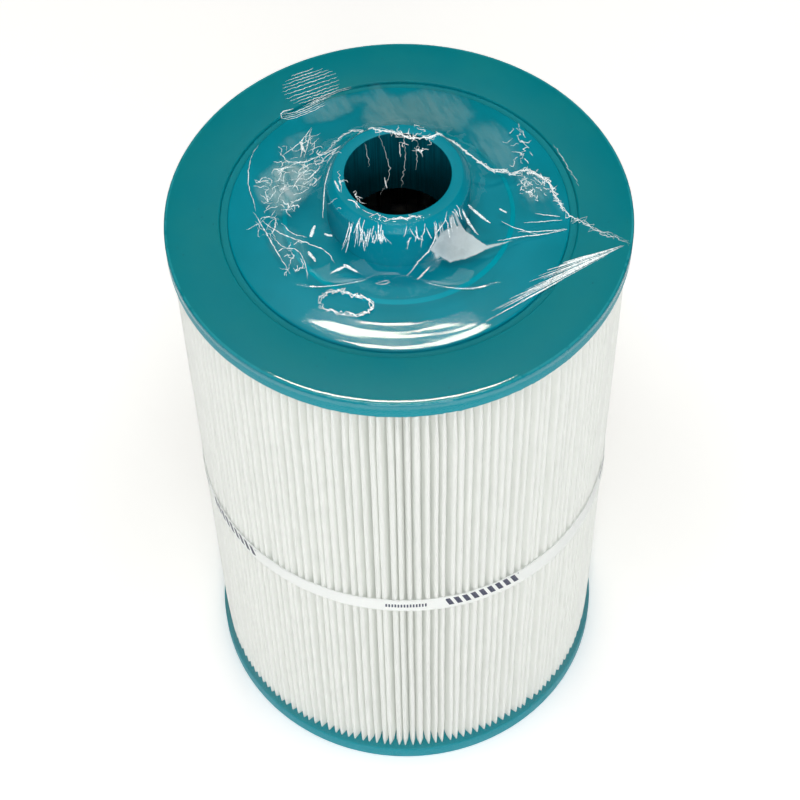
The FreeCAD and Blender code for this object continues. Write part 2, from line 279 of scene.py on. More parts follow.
@dataclass(frozen=True)
class CastUrethane:
    """Poured urethane of the end caps: deep teal and faintly mottled, with whitish scuffs on its side wall;
    the side wall is painted lighter (painted light), the top edge has a painted highlight and the pits are
    painted darker (painted shade).
    """

    rim_radius: float
    face_level: float
    face: Colour = (0.0, 0.270, 0.335)
    back: Colour = (0.004, 0.280, 0.330)
    # lighter than the face: painted light where the front lamps fall on the side wall
    wall: Colour = (0.0, 0.310, 0.385)
    # whitish scuffs on the side wall, and the colour of the painted highlight along the top edge
    scuff_and_highlight: Colour = (0.03, 0.42, 0.50)

    def material(self) -> bpy.types.Material:
        """Builds the finish."""
        g = Graph("cast_urethane")
        x, y, z = g.place()
        where = g.vector(x, y, z)
        around = (x * x + y * y) ** 0.5
        mottle = g.noise(where, 0.035, 3.0, 0.6)
        grain = g.noise(where, 1.6, 3.0, 0.6)
        pits = g.cells(where, 0.22, "F1").step(0.10, 0.05) * g.noise(where, 0.05).step(0.5, 0.62)
        on_wall = (around - self.rim_radius).step(-1.1, -0.2)
        skid = g.noise(g.vector(x * 0.5, y * 0.5, z * 1.6), 0.5, 5.0, 0.7).step(0.50, 0.72)
        # A thin band just inside the top edge, broken up by noise: a painted highlight where the rounded edge
        # catches the light.
        edge = (around - self.rim_radius + 0.9).within(-0.25, 0.45, 0.3)
        painted_light = edge * (z - self.face_level).step(-1.4, -0.4) * g.noise(where, 0.25).step(0.3, 0.5)
        tint = g.mix(mottle.step(0.35, 0.7), self.face, self.back)
        # The side wall takes the lighter wall colour, painted light, with whitish scuffs mixed in.
        tint = g.mix(on_wall, tint, g.mix(skid * 0.35, self.wall, self.scuff_and_highlight))
        tint = g.mix(painted_light * 0.75, tint, self.scuff_and_highlight)
        # The pits are painted darker: painted shade in them.
        tint = g.mix(pits * 0.6, tint, (0.0, 0.06, 0.075))
        rough = mottle * 0.12 + grain * 0.10 + on_wall * 0.12 + 0.26
        height = grain * 0.25 + mottle * 0.9 - pits * 0.8
        bent = g.bump(height, 0.35, 0.12)
        return g.finish(Base_Color=tint, Roughness=rough, Normal=bent, Specular_IOR_Level=0.1)


@dataclass(frozen=True)
class MouldedPlastic:
    """Injection-moulded teal plastic: a little bluer and glossier, with drag marks down the bore; the collar
    is painted paler (painted light on its wall), the boss edge has a painted highlight ring and the bore is
    painted dark (painted shade).
    """

    bore_radius: float
    rim_level: float
    face: Colour = (0.0, 0.260, 0.340)
    # paler random clouding, and the collar painted paler as painted light
    pale: Colour = (0.0, 0.315, 0.430)
    # the colour of a painted highlight round the boss edge
    ring: Colour = (0.0, 0.420, 0.540)
    ring_radius: float = 53.0

    def material(self) -> bpy.types.Material:
        """Builds the finish."""
        g = Graph("moulded_plastic")
        x, y, z = g.place()
        where = g.vector(x, y, z)
        around = (x * x + y * y) ** 0.5
        bearing = y.math("ARCTAN2", x)
        cloud = g.noise(where, 0.03, 2.0, 0.5)
        grain = g.noise(where, 2.2, 2.0, 0.5)
        flow = g.noise(g.vector(x * 0.35, y * 0.08, z * 0.1), 0.5, 3.0, 0.6)
        drag = g.noise(g.vector(bearing * 24.0, z * 0.02), 1.0, 3.0, 0.65)
        raised = (z - self.rim_level).step(-26.5, -24.0)
        inside = (around - self.bore_radius).step(0.5, 0.1)
        tint = g.mix(cloud.step(0.3, 0.7) * 0.6 + flow * 0.3, self.face, self.pale)
        # The collar above its foot is painted paler: painted light where the lamps fall on its wall.
        tint = g.mix(raised * 0.8, tint, self.pale)
        # A bright band round the boss edge: a painted highlight.
        bright = (around - self.ring_radius + 0.9).within(-0.9, 0.7, 0.35)
        tint = g.mix(bright * (1.0 - raised) * 0.8, tint, self.ring)
        # The bore is painted towards dark blue, broken by the drag marks: painted shade down the bore.
        tint = g.mix(inside * (drag.step(0.3, 0.75) * 0.25 + 0.62), tint, (0.0, 0.020, 0.035))
        rough = cloud * 0.10 + grain * 0.08 + 0.24
        height = grain * 0.3 + flow * 0.7 + inside * drag * 2.0
        bent = g.bump(height, 0.3, 0.10)
        return g.finish(Base_Color=tint, Roughness=rough, Normal=bent, Specular_IOR_Level=0.1)


@dataclass(frozen=True)
class FilterCloth:
    """White spun-bonded polyester: matt, with the clouding of its random fibres, and a painted glow on the
    outer pleats that lifts their shade.
    """

    name: str = "filter_cloth"
    cloth: Colour = (0.835, 0.852, 0.820)
    thin: Colour = (0.740, 0.765, 0.730)
    # painted light: an emission that lifts the shade on the outer pleats
    glow: float = 0.11

    def material(self) -> bpy.types.Material:
        """Builds the finish."""
        g = Graph(self.name)
        x, y, z = g.place()
        bearing = y.math("ARCTAN2", x)
        sheet = g.vector(bearing * 104.0, z * 0.55)
        fibre = g.noise(sheet, 2.4, 4.0, 0.7)
        cloud = g.noise(g.vector(x, y, z * 0.3), 0.16, 3.0, 0.6)
        dimple = g.cells(g.vector(x, y, z), 0.9, "F1")
        tint = g.mix(fibre.step(0.35, 0.75) * 0.35 + cloud.step(0.4, 0.75) * 0.35, self.cloth, self.thin)
        rough = fibre * 0.10 + 0.74
        height = fibre * 0.8 + dimple * 0.4
        # The painted glow is only on the outer pleats, from about 70 to 90 mm out.
        lit = ((x * x + y * y) ** 0.5).step(70.0, 90.0)
        return g.finish(
            Base_Color=tint, Roughness=rough, Normal=g.bump(height, 0.35, 0.10), Sheen_Weight=0.15,
            Emission_Color=g.mix(lit, (0.0, 0.0, 0.0), tint), Emission_Strength=self.glow,
        )


@dataclass(frozen=True)
class CorePlastic:
    """Core plastic painted near black with brownish clouds: painted shade of the deep bore, over lengthwise
    drawing lines.
    """

    # Near black and a brownish tone: painted shade, how the cloth and core look deep in the shaded bore.
    dark: Colour = (0.012, 0.013, 0.016)
    painted_light: Colour = (0.060, 0.052, 0.042)

    def material(self) -> bpy.types.Material:
        """Builds the finish."""
        g = Graph("core_plastic")
        x, y, z = g.place()
        lines = g.noise(g.vector(x, y, z * 0.05), 0.9, 3.0, 0.6)
        shade_cloud = g.noise(g.vector(x, y, z), 0.12, 4.0, 0.65)
        # Brownish clouds over the near black: painted shade.
        tint = g.mix(shade_cloud.step(0.45, 0.75), self.dark, self.painted_light)
        rough = shade_cloud * 0.2 + 0.4
        return g.finish(Base_Color=tint, Roughness=rough, Normal=g.bump(lines, 0.3, 0.08))


@dataclass(frozen=True)
class SeamPlastic:
    """Milky strip that clamps the two ends of the cloth."""

    milky: Colour = (0.72, 0.74, 0.70)
    clouded: Colour = (0.60, 0.63, 0.58)

    def material(self) -> bpy.types.Material:
        """Builds the finish."""
        g = Graph("seam_plastic")
        x, y, z = g.place()
        cloud = g.noise(g.vector(x, y, z * 0.4), 0.3, 3.0, 0.6)
        tint = g.mix(cloud.step(0.35, 0.7), self.milky, self.clouded)
        return g.finish(Base_Color=tint, Roughness=cloud * 0.15 + 0.42, Normal=g.bump(cloud, 0.3, 0.15))


@dataclass(frozen=True)
class StrapMark:
    """A printed block of slanted bars on the strap.

    start and end are turns about the axis in degrees, low and high are shares of the strap's
    width, bars is how many bars it has, and slant leans them by that many bars.
    """

    start: float
    end: float
    low: float
    high: float
    bars: int
    slant: float


@dataclass(frozen=True)
class StrapCloth:
    """White strap cloth with plain navy bars printed on it, and a painted glow that lightens it."""

    middle: float
    width: float
    marks: tuple[StrapMark, ...]
    cloth: Colour = (0.84, 0.865, 0.845)
    thin: Colour = (0.74, 0.77, 0.75)
    ink: Colour = (0.018, 0.024, 0.070)

    def material(self) -> bpy.types.Material:
        """Builds the finish."""
        g = Graph("strap_cloth")
        x, y, z = g.place()
        bearing = y.math("ARCTAN2", x) * (180 / math.pi)
        up = (z - self.middle) / self.width + 0.5
        fibre = g.noise(g.vector(bearing * 1.8, z), 2.2, 4.0, 0.7)
        printed = bearing * 0.0
        for mark in self.marks:
            along = (bearing - mark.start) / (mark.end - mark.start)
            lean = (up - 0.5) * mark.slant
            phase = (along * mark.bars + lean).math("FRACT")
            bars = phase.within(0.16, 0.70, 0.05)
            tall = up.within(mark.low, mark.high, 0.02)
            printed = printed + bars * tall * along.within(0.0, 1.0, 0.002)
        rubbed = fibre.step(0.25, 0.45) * 0.35 + 0.62
        tint = g.mix(fibre.step(0.35, 0.75) * 0.6, self.cloth, self.thin)
        tint = g.mix(printed.at_most(1.0) * rubbed, tint, self.ink)
        # Emission of the strap's own colour: painted light that brightens it.
        return g.finish(
            Base_Color=tint, Roughness=fibre * 0.1 + 0.7, Normal=g.bump(fibre, 0.3, 0.08),
            Emission_Color=tint, Emission_Strength=0.16,
        )


@dataclass(frozen=True)
class Patch:
    """A ragged oval on the film where it is milky.

    x and y are its middle, wide and deep its half sizes in millimetres, tilt turns it in degrees,
    and milk is how milky it is.
    """

    x: float
    y: float
    wide: float
    deep: float
    tilt: float
    milk: float


@dataclass(frozen=True)
class ClearFilm:
    """Clear shrink film: it mirrors a little everywhere, is milky where it is slack, and carries a painted
    glare at the collar's right-hand foot.
    """

    rim_level: float
    mirror: float = 0.3
    crescent_middle: float = -93.0
    crescent_half: float = 37.0
    veils: tuple[Patch, ...] = (
        Patch(-6, 53, 13, 30, 8, 0.24), Patch(16, 58, 26, 21, -8, 0.24), Patch(46, 36, 13, 24, 18, 0.20),
        Patch(-30, 64, 20, 11, 28, 0.20), Patch(-50, 12, 18, 20, 0, 0.50), Patch(-45, 38, 14, 15, 0, 0.14),
        Patch(62, 13, 9, 12, 0, 0.18), Patch(-50, -22, 9, 18, 35, 0.14), Patch(66, 2, 16, 11, -20, 0.08),
    )

    def material(self) -> bpy.types.Material:
        """Builds the finish."""
        g = Graph("clear_film")
        x, y, z = g.place()
        # Milkiness of the film, with the painted glare folded in.
        milk_and_glare = self.milk_and_glare(g, x, y, z)
        ripple = g.noise(g.vector(x, y, z * 0.5), 0.05, 2.0, 0.4)
        around = (x * x + y * y) ** 0.5
        bearing = y.math("ARCTAN2", x) * (180 / math.pi)
        rings = g.noise(g.vector(around * 0.30, bearing * 0.016), 1.0, 1.0, 0.5)
        bent = g.bump(ripple * 0.2 + milk_and_glare * 0.15 + rings * around.within(56.0, 82.0, 4.0) * 0.6, 0.4, 0.3)
        mirror = g.add("ShaderNodeFresnel", None, {"IOR": 1.45, "Normal": bent}).at_most(self.mirror)
        mirror = mirror * (1.0 - self.slack(around, bearing, rings))
        on_side = z.step(self.rim_level - 29.0, self.rim_level - 31.0)
        on_tent = z.step(self.rim_level - 25.4, self.rim_level - 24.6)
        alpha = (mirror * (1.0 - on_side * 0.8) * (1.0 - on_tent * 0.7) + milk_and_glare).at_most(0.95)
        # Milky colours, whitest where the painted glare lies.
        tint = g.mix(milk_and_glare.step(0.01, 0.10), (0.97, 0.97, 0.95), (0.60, 0.92, 0.94))
        tint = g.mix(milk_and_glare.step(0.30, 0.55), tint, (0.88, 0.97, 1.0))
        return g.finish(
            Base_Color=tint, Metallic=1.0 - milk_and_glare.step(0.01, 0.12), Alpha=alpha,
            Roughness=milk_and_glare * 0.35 + 0.05, Normal=bent,
        )

    def slack(self, around: Socket, bearing: Socket, rings: Socket) -> Socket:
        """How dull the film is round the boss, where only a ringed crescent in front is pulled tight.

        Args:
            around: distance from the axis in millimetres.
            bearing: direction about the axis in degrees.
            rings: noise that follows the boss round.

        Returns:
            0 where it mirrors in full, towards 1 where it is dull.
        """
        aside = (bearing - self.crescent_middle) / self.crescent_half
        crescent = (around - aside * aside * 14.0).step(62.5, 65.0) * rings.step(0.42, 0.50)
        return around.within(59.0, 80.0, 1.0) * (1.0 - crescent) * 0.9

    def milk_and_glare(self, g: Graph, x: Socket, y: Socket, z: Socket) -> Socket:
        """How milky the film is: veils behind and beside the collar, and a painted glare at its right-hand
        foot, painted as milky white.

        Args:
            g: the material's graph.
            x: place along X in millimetres.
            y: place along Y in millimetres.
            z: height in millimetres.

        Returns:
            How milky the film is, the painted glare included, from 0 to 1.
        """
        cloud = g.noise(g.vector(x, y, z), 0.07, 4.0, 0.6)
        fine = g.noise(g.vector(x, y, z * 2.0), 0.30, 3.0, 0.6)
        total = z * 0.0
        for veil in self.veils:
            total = total + self.oval(x, y, veil, (cloud - 0.5) * 1.1, 0.95) * (1.0 - total)
        drawn = g.noise(g.vector(x * 0.9 + y * 0.4, y * 0.10 - x * 0.22), 0.30, 4.0, 0.65)
        total = total * (cloud.step(0.2, 0.6) * 0.45 + drawn.step(0.35, 0.62) * 0.45 + fine * 0.3)
        bearing = y.math("ARCTAN2", x) * (180 / math.pi)
        around = (x * x + y * y) ** 0.5
        down = self.rim_level - z
        # Streaks and a swoosh of painted glare: a painted reflection at the collar's right-hand foot.
        streak = g.noise(g.vector(bearing * 0.30, z * 0.02, 5.0), 1.0, 2.0, 0.5).step(0.48, 0.56)
        sweep = bearing.within(-64.0, -36.0, 3.0) * down.within(4.0, 40.0, 2.0) * around.step(39.5, 37.5)
        glare = (sweep * streak.at_least(down.step(12.0, 17.0))).at_least(self.swoosh(g, x, y, cloud))
        total = total.at_least(glare * (cloud.step(0.2, 0.7) * 0.25 + 0.52))
        top = z.step(self.rim_level - 29.0, self.rim_level - 28.0)
        return total.at_most(0.85) * top

    def swoosh(self, g: Graph, x: Socket, y: Socket, cloud: Socket) -> Socket:
        """Glare that runs out from the collar's right-hand foot to a point.

        Args:
            g: the material's graph.
            x: place along X in millimetres.
            y: place along Y in millimetres.
            cloud: noise that makes its edges uneven.

        Returns:
            1 inside it, 0 outside.
        """
        edges = []
        near = ((0.0, 0.82), (0.2, 0.90), (0.33, 0.85), (0.5, 0.71), (0.77, 0.51), (1.0, 0.40))
        far = ((0.0, 0.84), (0.12, 0.70), (0.28, 0.56), (0.4, 0.57), (0.52, 0.63), (0.7, 0.53), (1.0, 0.40))
        for edge in (near, far):
            stops = [(place, (share, share, share)) for place, share in edge]
            ramp = g.add("ShaderNodeValToRGB", {"stops": stops}, {0: (x - 12.0) / 52.0})
            edges.append(ramp * -40.0)
        shifted = y + (cloud - 0.5) * 2.4
        across = (shifted - edges[0]).step(0.0, 0.8) * (edges[1] - shifted).step(0.0, 0.8)
        return across * x.within(13.0, 61.0, 1.5)

    def oval(self, x: Socket, y: Socket, patch: Patch, ragged: Socket, soft: float) -> Socket:
        """One patch.

        Args:
            x: place along X in millimetres.
            y: place along Y in millimetres.
            patch: the patch.
            ragged: what makes its edge uneven.
            soft: how gradually it fades.

        Returns:
            Its milk, 0 outside it.
        """
        cosine, sine = math.cos(math.radians(patch.tilt)), math.sin(math.radians(patch.tilt))
        along = ((x - patch.x) * cosine + (y - patch.y) * sine) / patch.wide
        across = ((y - patch.y) * cosine - (x - patch.x) * sine) / patch.deep
        return (along * along + across * across + ragged).step(1.0, 1.0 - soft) * patch.milk


@dataclass(frozen=True)
class GlowingFilmLine:
    """White of the film where it is creased or welded, broken up along its length; it glows a little, as
    painted light, and also dresses painted glints.
    """

    name: str
    thin: float
    thick: float
    white: Colour = (0.95, 0.97, 0.97)
    grey: Colour = (0.74, 0.82, 0.83)

    def material(self) -> bpy.types.Material:
        """Builds the finish."""
        g = Graph(self.name)
        x, y, z = g.place()
        crinkle = g.noise(g.vector(x, y, z), 0.7, 3.0, 0.7)
        tint = g.mix(crinkle.step(0.45, 0.7), self.white, self.grey)
        alpha = crinkle.step(0.36, 0.60) * (self.thick - self.thin) + self.thin
        # Emission of the lines' own colour: painted light that keeps them white.
        return g.finish(
            Base_Color=tint, Roughness=crinkle * 0.3 + 0.2, Alpha=alpha,
            Normal=g.bump(crinkle, 0.6, 0.3), Emission_Color=tint, Emission_Strength=0.32,
        )


@dataclass(frozen=True)
class StudioPaper:
    """Pale seamless paper that glows, less near the cartridge: a painted shade on the floor round its foot.
    """

    pale: Colour = (0.96, 0.96, 0.96)
    fleck: Colour = (0.94, 0.94, 0.94)
    glow: float = 0.54

    def material(self) -> bpy.types.Material:
        """Builds the finish."""
        g = Graph("studio_paper")
        x, y, z = g.place()
        tooth = g.noise(g.vector(x, y, z), 0.4, 2.0, 0.5)
        tint = g.mix(tooth, self.pale, self.fleck)
        # The glow is grey out to 150 mm from the axis and reaches the paper's tint at 320 mm: painted shade
        # on the floor round the cartridge.
        far = ((x * x + y * y) ** 0.5).step(150.0, 320.0)
        lit = g.mix(far, (0.72, 0.72, 0.72), tint)
        return g.finish(
            Base_Color=tint, Roughness=0.9, Normal=g.bump(tooth, 0.1, 0.05),
            Emission_Color=lit, Emission_Strength=self.glow,
        )


# ---------------------------------------------------------------- making and placing


def deselect_all() -> None:
    """Leaves edit mode and selects nothing."""
    if bpy.context.object and bpy.context.object.mode != "OBJECT":
        bpy.ops.object.mode_set(mode="OBJECT")
    bpy.ops.object.select_all(action="DESELECT")


def rounded(corners: Sequence[tuple[float, float, float]], steps: int = 5) -> Outline:
    """Rounds an outline's corners with arcs.

    Args:
        corners: radius, height and rounding of each corner of a closed outline, in millimetres.
        steps: straight steps in each arc.

    Returns:
        The outline's points.
    """
    points: Outline = []
    for i, (r, z, radius) in enumerate(corners):
        here = Vector((r, z))
        if radius <= 0.0:
            points.append((r, z))
            continue
        back = (Vector(corners[i - 1][:2]) - here).normalized()
        ahead = (Vector(corners[(i + 1) % len(corners)][:2]) - here).normalized()
        half = back.angle(ahead) / 2
        reach = radius / math.tan(half)
        middle = here + (back + ahead).normalized() * (radius / math.sin(half))
        first = here + back * reach - middle
        sweep = first.angle_signed(here + ahead * reach - middle)
        for step in range(steps + 1):
            turned = first.copy()
            turned.rotate(Matrix.Rotation(-sweep * step / steps, 2))
            points.append(tuple(middle + turned))
    return points


def turn(name: str, outline: Outline, segments: int) -> bpy.types.Object:
    """Turns a closed outline about the axis: a circle extruded ring by ring and joined to itself.

    Args:
        name: the piece's name.
        outline: radius and height of each ring, in millimetres.
        segments: flat steps round the axis.

    Returns:
        The piece.
    """
    deselect_all()
    first, level = outline[0]
    bpy.ops.mesh.primitive_circle_add(vertices=segments, radius=first * MM, fill_type="NOTHING")
    piece = bpy.context.object
    piece.name = piece.data.name = name
    bpy.ops.object.mode_set(mode="EDIT")
    bpy.ops.mesh.select_all(action="SELECT")
    bpy.ops.transform.translate(value=(0, 0, level * MM))
    for (r, z), (wide, high) in zip(outline, outline[1:] + outline[:1]):
        bpy.ops.mesh.extrude_region_move(TRANSFORM_OT_translate={"value": (0, 0, (high - z) * MM)})
        bpy.ops.transform.resize(value=(wide / r, wide / r, 1), center_override=(0, 0, high * MM))
    bpy.ops.mesh.select_all(action="SELECT")
    bpy.ops.mesh.remove_doubles(threshold=0.02 * MM)
    bpy.ops.mesh.normals_make_consistent(inside=False)
    bpy.ops.object.mode_set(mode="OBJECT")
    bpy.ops.object.shade_smooth_by_angle(angle=math.radians(35))
    return piece


def flat_sheet(name: str, across: int, along: int) -> tuple[bpy.types.Object, np.ndarray, np.ndarray]:
    """A flat grid, ready to be shaped point by point.

    Args:
        name: the piece's name.
        across: faces along X.
        along: faces along Y.

    Returns:
        The piece, and each point's column and row.
    """
    deselect_all()
    bpy.ops.mesh.primitive_grid_add(x_subdivisions=across, y_subdivisions=along, size=1.0)
    piece = bpy.context.object
    piece.name = piece.data.name = name
    places = np.zeros(len(piece.data.vertices) * 3)
    piece.data.vertices.foreach_get("co", places)
    places = places.reshape(-1, 3) + 0.5
    column = np.rint(places[:, 0] * across).astype(int)
    row = np.rint(places[:, 1] * along).astype(int)
    return piece, column, row


def shape_sheet(piece: bpy.types.Object, places: np.ndarray, merge: float = 0.01) -> None:
    """Moves a sheet's points to their places and closes its seam.

    Args:
        piece: the sheet.
        places: each point's place in millimetres.
        merge: how near two points are joined, in millimetres.
    """
    piece.data.vertices.foreach_set("co", (places * MM).ravel())
    piece.data.update()
    bpy.ops.object.mode_set(mode="EDIT")
    bpy.ops.mesh.select_all(action="SELECT")
    bpy.ops.mesh.remove_doubles(threshold=merge * MM)
    bpy.ops.object.mode_set(mode="OBJECT")
    bpy.ops.object.shade_smooth()


def thicken(piece: bpy.types.Object, thickness: float, offset: float, lining: int = 0) -> None:
    """Gives a sheet its thickness.

    Args:
        piece: the sheet.
        thickness: in millimetres.
        offset: -1 for inwards, 1 for outwards.
        lining: how many material slots further on the inner side's finish is.
    """
    bpy.context.view_layer.objects.active = piece
    wall = piece.modifiers.new("thickness", "SOLIDIFY")
    wall.thickness = thickness * MM
    wall.offset = offset
    wall.material_offset = lining
    bpy.ops.object.modifier_apply(modifier=wall.name)


def dress(piece: bpy.types.Object, material: bpy.types.Material) -> None:
    """Gives a piece its one finish."""
    piece.data.materials.clear()
    piece.data.materials.append(material)


def dress_node(node: str, material: bpy.types.Material) -> None:
    """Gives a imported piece, which keeps its shape, its finish."""
    dress(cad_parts[node], material)
    log.info("%s: kept, with %s", node, material.name)


def settle(piece: bpy.types.Object, slot: str, *stands_for: str) -> None:
    """Rides a new piece on the body, hides the CAD nodes that it replaces and logs its face count.

    Args:
        piece: the new piece.
        slot: the record's material slot; not used.
        stands_for: the CAD nodes that it replaces.
    """
    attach(piece, BODY)
    if stands_for:
        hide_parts(*stands_for)
    log.info("%s: %d faces", piece.name, len(piece.data.polygons))


def waves(rng: np.random.Generator, count: int, heights: np.ndarray, lengths: Sequence[float]) -> np.ndarray:
    """Slow sideways waves along each of a row of pleats.

    Args:
        rng: where the phases come from.
        count: how many pleats.
        heights: the heights at which they are read, in millimetres.
        lengths: wavelengths in millimetres.

    Returns:
        Waves of about -1 to 1, by pleat and height.
    """
    total = np.zeros((count, len(heights)))
    for length in lengths:
        phase = rng.uniform(0, 2 * math.pi, count)
        size = rng.uniform(0.3, 1.0, count)
        total += size[:, None] * np.sin(2 * math.pi * heights[None, :] / length + phase[:, None])
    return total / len(lengths)


# ---------------------------------------------------------------- sub-assemblies


@dataclass
class PleatedMedia:
    """The cloth folded into deep pleats; the strip that clamps its two ends is dressed with the core."""

    pleats: int = 160
    tip: float = 105.2
    fold: float = 36.4
    waist: float = 0.35
    shoulder: float = 100.6
    closed: float = 95.0
    slit: float = 0.14
    body_width: float = 3.0
    tip_width: float = 2.4
    end_width: float = 0.85
    end_taper: float = 26.0
    thickness: float = 0.45
    band_level: float = 169.5
    points: int = 12
    seed: int = 11

    def heights(self) -> np.ndarray:
        """Heights of the rows, closer at the ends and at the strap, in millimetres."""
        low, high = (corner.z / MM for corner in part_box("pleated_media"))
        near = [0, 1.6, 4.5, 10, 18, 30, 46]
        middle = [62, 90, 115, 135, 150, 157, 160.2, 163.5, 170, 185, 210, 240]
        far = [265, 285, 300, 311, 318, 323.5]
        rows = np.array(near + middle + far + [high - low])
        return low + rows

    def build(self) -> bpy.types.Object:
        rows = self.heights()
        places = self.folded(rows)
        sheet, column, row = flat_sheet("pleated_cloth", len(places) - 1, len(rows) - 1)
        shape_sheet(sheet, places[column, row])
        self.turn_out(sheet)
        dress(sheet, FilterCloth().material())
        sheet.data.materials.append(FilterCloth("filter_cloth_inside", glow=0.0).material())
        thicken(sheet, self.thickness, -1, 1)
        bpy.ops.object.shade_smooth_by_angle(angle=math.radians(50))
        settle(sheet, "filter_cloth", "pleated_media")
        return sheet

    def folded(self, rows: np.ndarray) -> np.ndarray:
        """The cloth's section at every height, each pleat with its own drift, lean, width and rise.

        Args:
            rows: the heights, in millimetres.

        Returns:
            Each point's place by its step round the cloth and its height.
        """
        rng = np.random.default_rng(self.seed)
        n, k = self.pleats, self.points
        pitch = 2 * math.pi / n
        drift = rng.uniform(-0.12, 0.12, n) * pitch
        slow = waves(rng, n, rows, (310.0, 150.0, 80.0))
        lean = rng.normal(0, 0.28, n)[:, None] + 0.16 * waves(rng, n, rows, (260.0, 120.0))
        width = rng.normal(1.0, 0.10, n).clip(0.78, 1.25)[:, None] + 0.05 * slow
        rise = rng.normal(0, 0.22, n).clip(-0.5, 0.4)[:, None] + 0.12 * waves(rng, n, rows, (170.0, 95.0))
        ends = np.minimum(rows - rows[0], rows[-1] - rows)
        free = np.clip(ends / self.end_taper, 0, 1) ** 0.7
        pinch = np.exp(-(((rows - self.band_level) / 9.0) ** 2))
        centre = (np.arange(n)[:, None] + 0.5) * pitch + drift[:, None]
        centre = centre + slow * 0.24 * free / self.tip
        full = (self.end_width + (self.tip_width - self.end_width) * free) * width
        top = self.tip + rise * (1 - pinch) * free - self.waist * pinch - 0.9 * (1 - free)
        crown = 0.50 * full + 0.15
        shape = [(0.0, 1.0), (0.44, 0.90), (0.82, 0.60), (1.0, 0.0)]
        before = (centre + np.roll(centre, 1, axis=0)) / 2
        before[0] -= math.pi
        after = np.roll(before, -1, axis=0)
        after[-1] += 2 * math.pi
        places = np.zeros((n * k + 1, len(rows), 3))
        for step in range(1, k):
            side = -1 if step < k // 2 else 1
            out = abs(step - k // 2)
            if out <= 3:
                share, height = shape[out]
                offset, radius = side * share * full / 2 + lean, top - crown * (1 - height)
            else:
                radius = np.full_like(full, self.shoulder if out == 4 else self.closed)
                room = abs((before if side < 0 else after) - centre) * radius - self.slit / 2
                body = self.body_width * width / 2 + side * lean * 0.5
                offset = side * (np.minimum(body, room - 0.15) if out == 4 else room)
            x = radius * np.cos(centre) - offset * np.sin(centre)
            y = radius * np.sin(centre) + offset * np.cos(centre)
            places[step::k, :, 0], places[step::k, :, 1] = x, y
        places[0:n * k:k, :, 0] = self.fold * np.cos(before)
        places[0:n * k:k, :, 1] = self.fold * np.sin(before)
        places[n * k] = places[0]
        places[:, :, 2] = rows[None, :]
        return places

    def turn_out(self, sheet: bpy.types.Object) -> None:
        """Flips the sheet if the faces at its tips point at the axis."""
        tips = [f for f in sheet.data.polygons if f.center.xy.length > (self.tip - 0.6) * MM]
        if sum(f.normal.dot(f.center.xy.to_3d()) for f in tips) < 0:
            sheet.data.flip_normals()


@dataclass
class EndCaps:
    """The two cast end caps, each turned whole with the uneven skirt that the pour leaves."""

    radius: float = 107.15
    edge: float = 0.9
    segments: int = 480
    skirt: float = 0.45
    seed: float = 3.0

    def build(self) -> None:
        """Turns, roughens and dresses both caps."""
        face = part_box("top_end_cap")[1].z / MM
        finish = CastUrethane(self.radius, face).material()
        for piece, node in ((self.top(), "top_end_cap"), (self.bottom(), "bottom_end_cap")):
            dress(piece, finish)
            settle(piece, "cast_cap", node)

    def top(self) -> bpy.types.Object:
        """The cap over the pleats, with its stepped recess and groove."""
        low, high = (corner.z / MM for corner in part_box("top_end_cap"))
        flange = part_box("adapter_flange")[1].x / MM
        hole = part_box("core_upper")[1].x / MM
        lip, floor, seat = flange + 3.4, high - 1.7, high - 4.0
        corners = [
            (hole, low, 0), (self.radius - 14, low, 0), (self.radius, low, 0.5),
            (self.radius, high, self.edge), (self.radius - 10, high, 0), (lip, high, self.edge),
            (lip, floor, 0.3), (flange, floor, 0), (flange, seat, 0), (hole, seat, 0),
        ]
        cap = turn("top_cap", rounded(corners), self.segments)
        self.roughen(cap, low, -1)
        return cap

    def bottom(self) -> bpy.types.Object:
        """The cap that the cartridge stands on, with its recess for the plug."""
        low, high = (corner.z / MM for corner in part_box("bottom_end_cap"))
        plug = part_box("bottom_plug")[1].x / MM
        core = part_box("core_lower")[1].x / MM
        corners = [
            (plug, low, 0.2), (self.radius, low, self.edge), (self.radius, high, self.edge),
            (self.radius - 3.5, high, 0), (core, high, 0), (core, low + 4.0, 0), (plug, low + 4.0, 0),
        ]
        cap = turn("bottom_cap", rounded(corners), self.segments)
        self.roughen(cap, high, 1)
        return cap

    def roughen(self, cap: bpy.types.Object, level: float, way: int) -> None:
        """Makes the cap's edge by the pleats uneven, as a poured edge is.

        Args:
            cap: the cap.
            level: the edge's height in millimetres.
            way: 1 where the pleats are above the edge, -1 where they are below.
        """
        for point in cap.data.vertices:
            near = abs(point.co.z / MM - level) < 1.2
            if near and point.co.xy.length / MM > self.radius - 4.0:
                turned = math.atan2(point.co.y, point.co.x) * 40.0
                fine = noise.noise(Vector((turned * 1.9, self.seed * way, 0.0)))
                coarse = noise.noise(Vector((turned * 0.35, self.seed * way, 5.0)))
                drip = max(0.0, fine - 0.2) * 2.2
                point.co.z += way * self.skirt * MM * (0.45 * fine + 0.5 * coarse + drip)


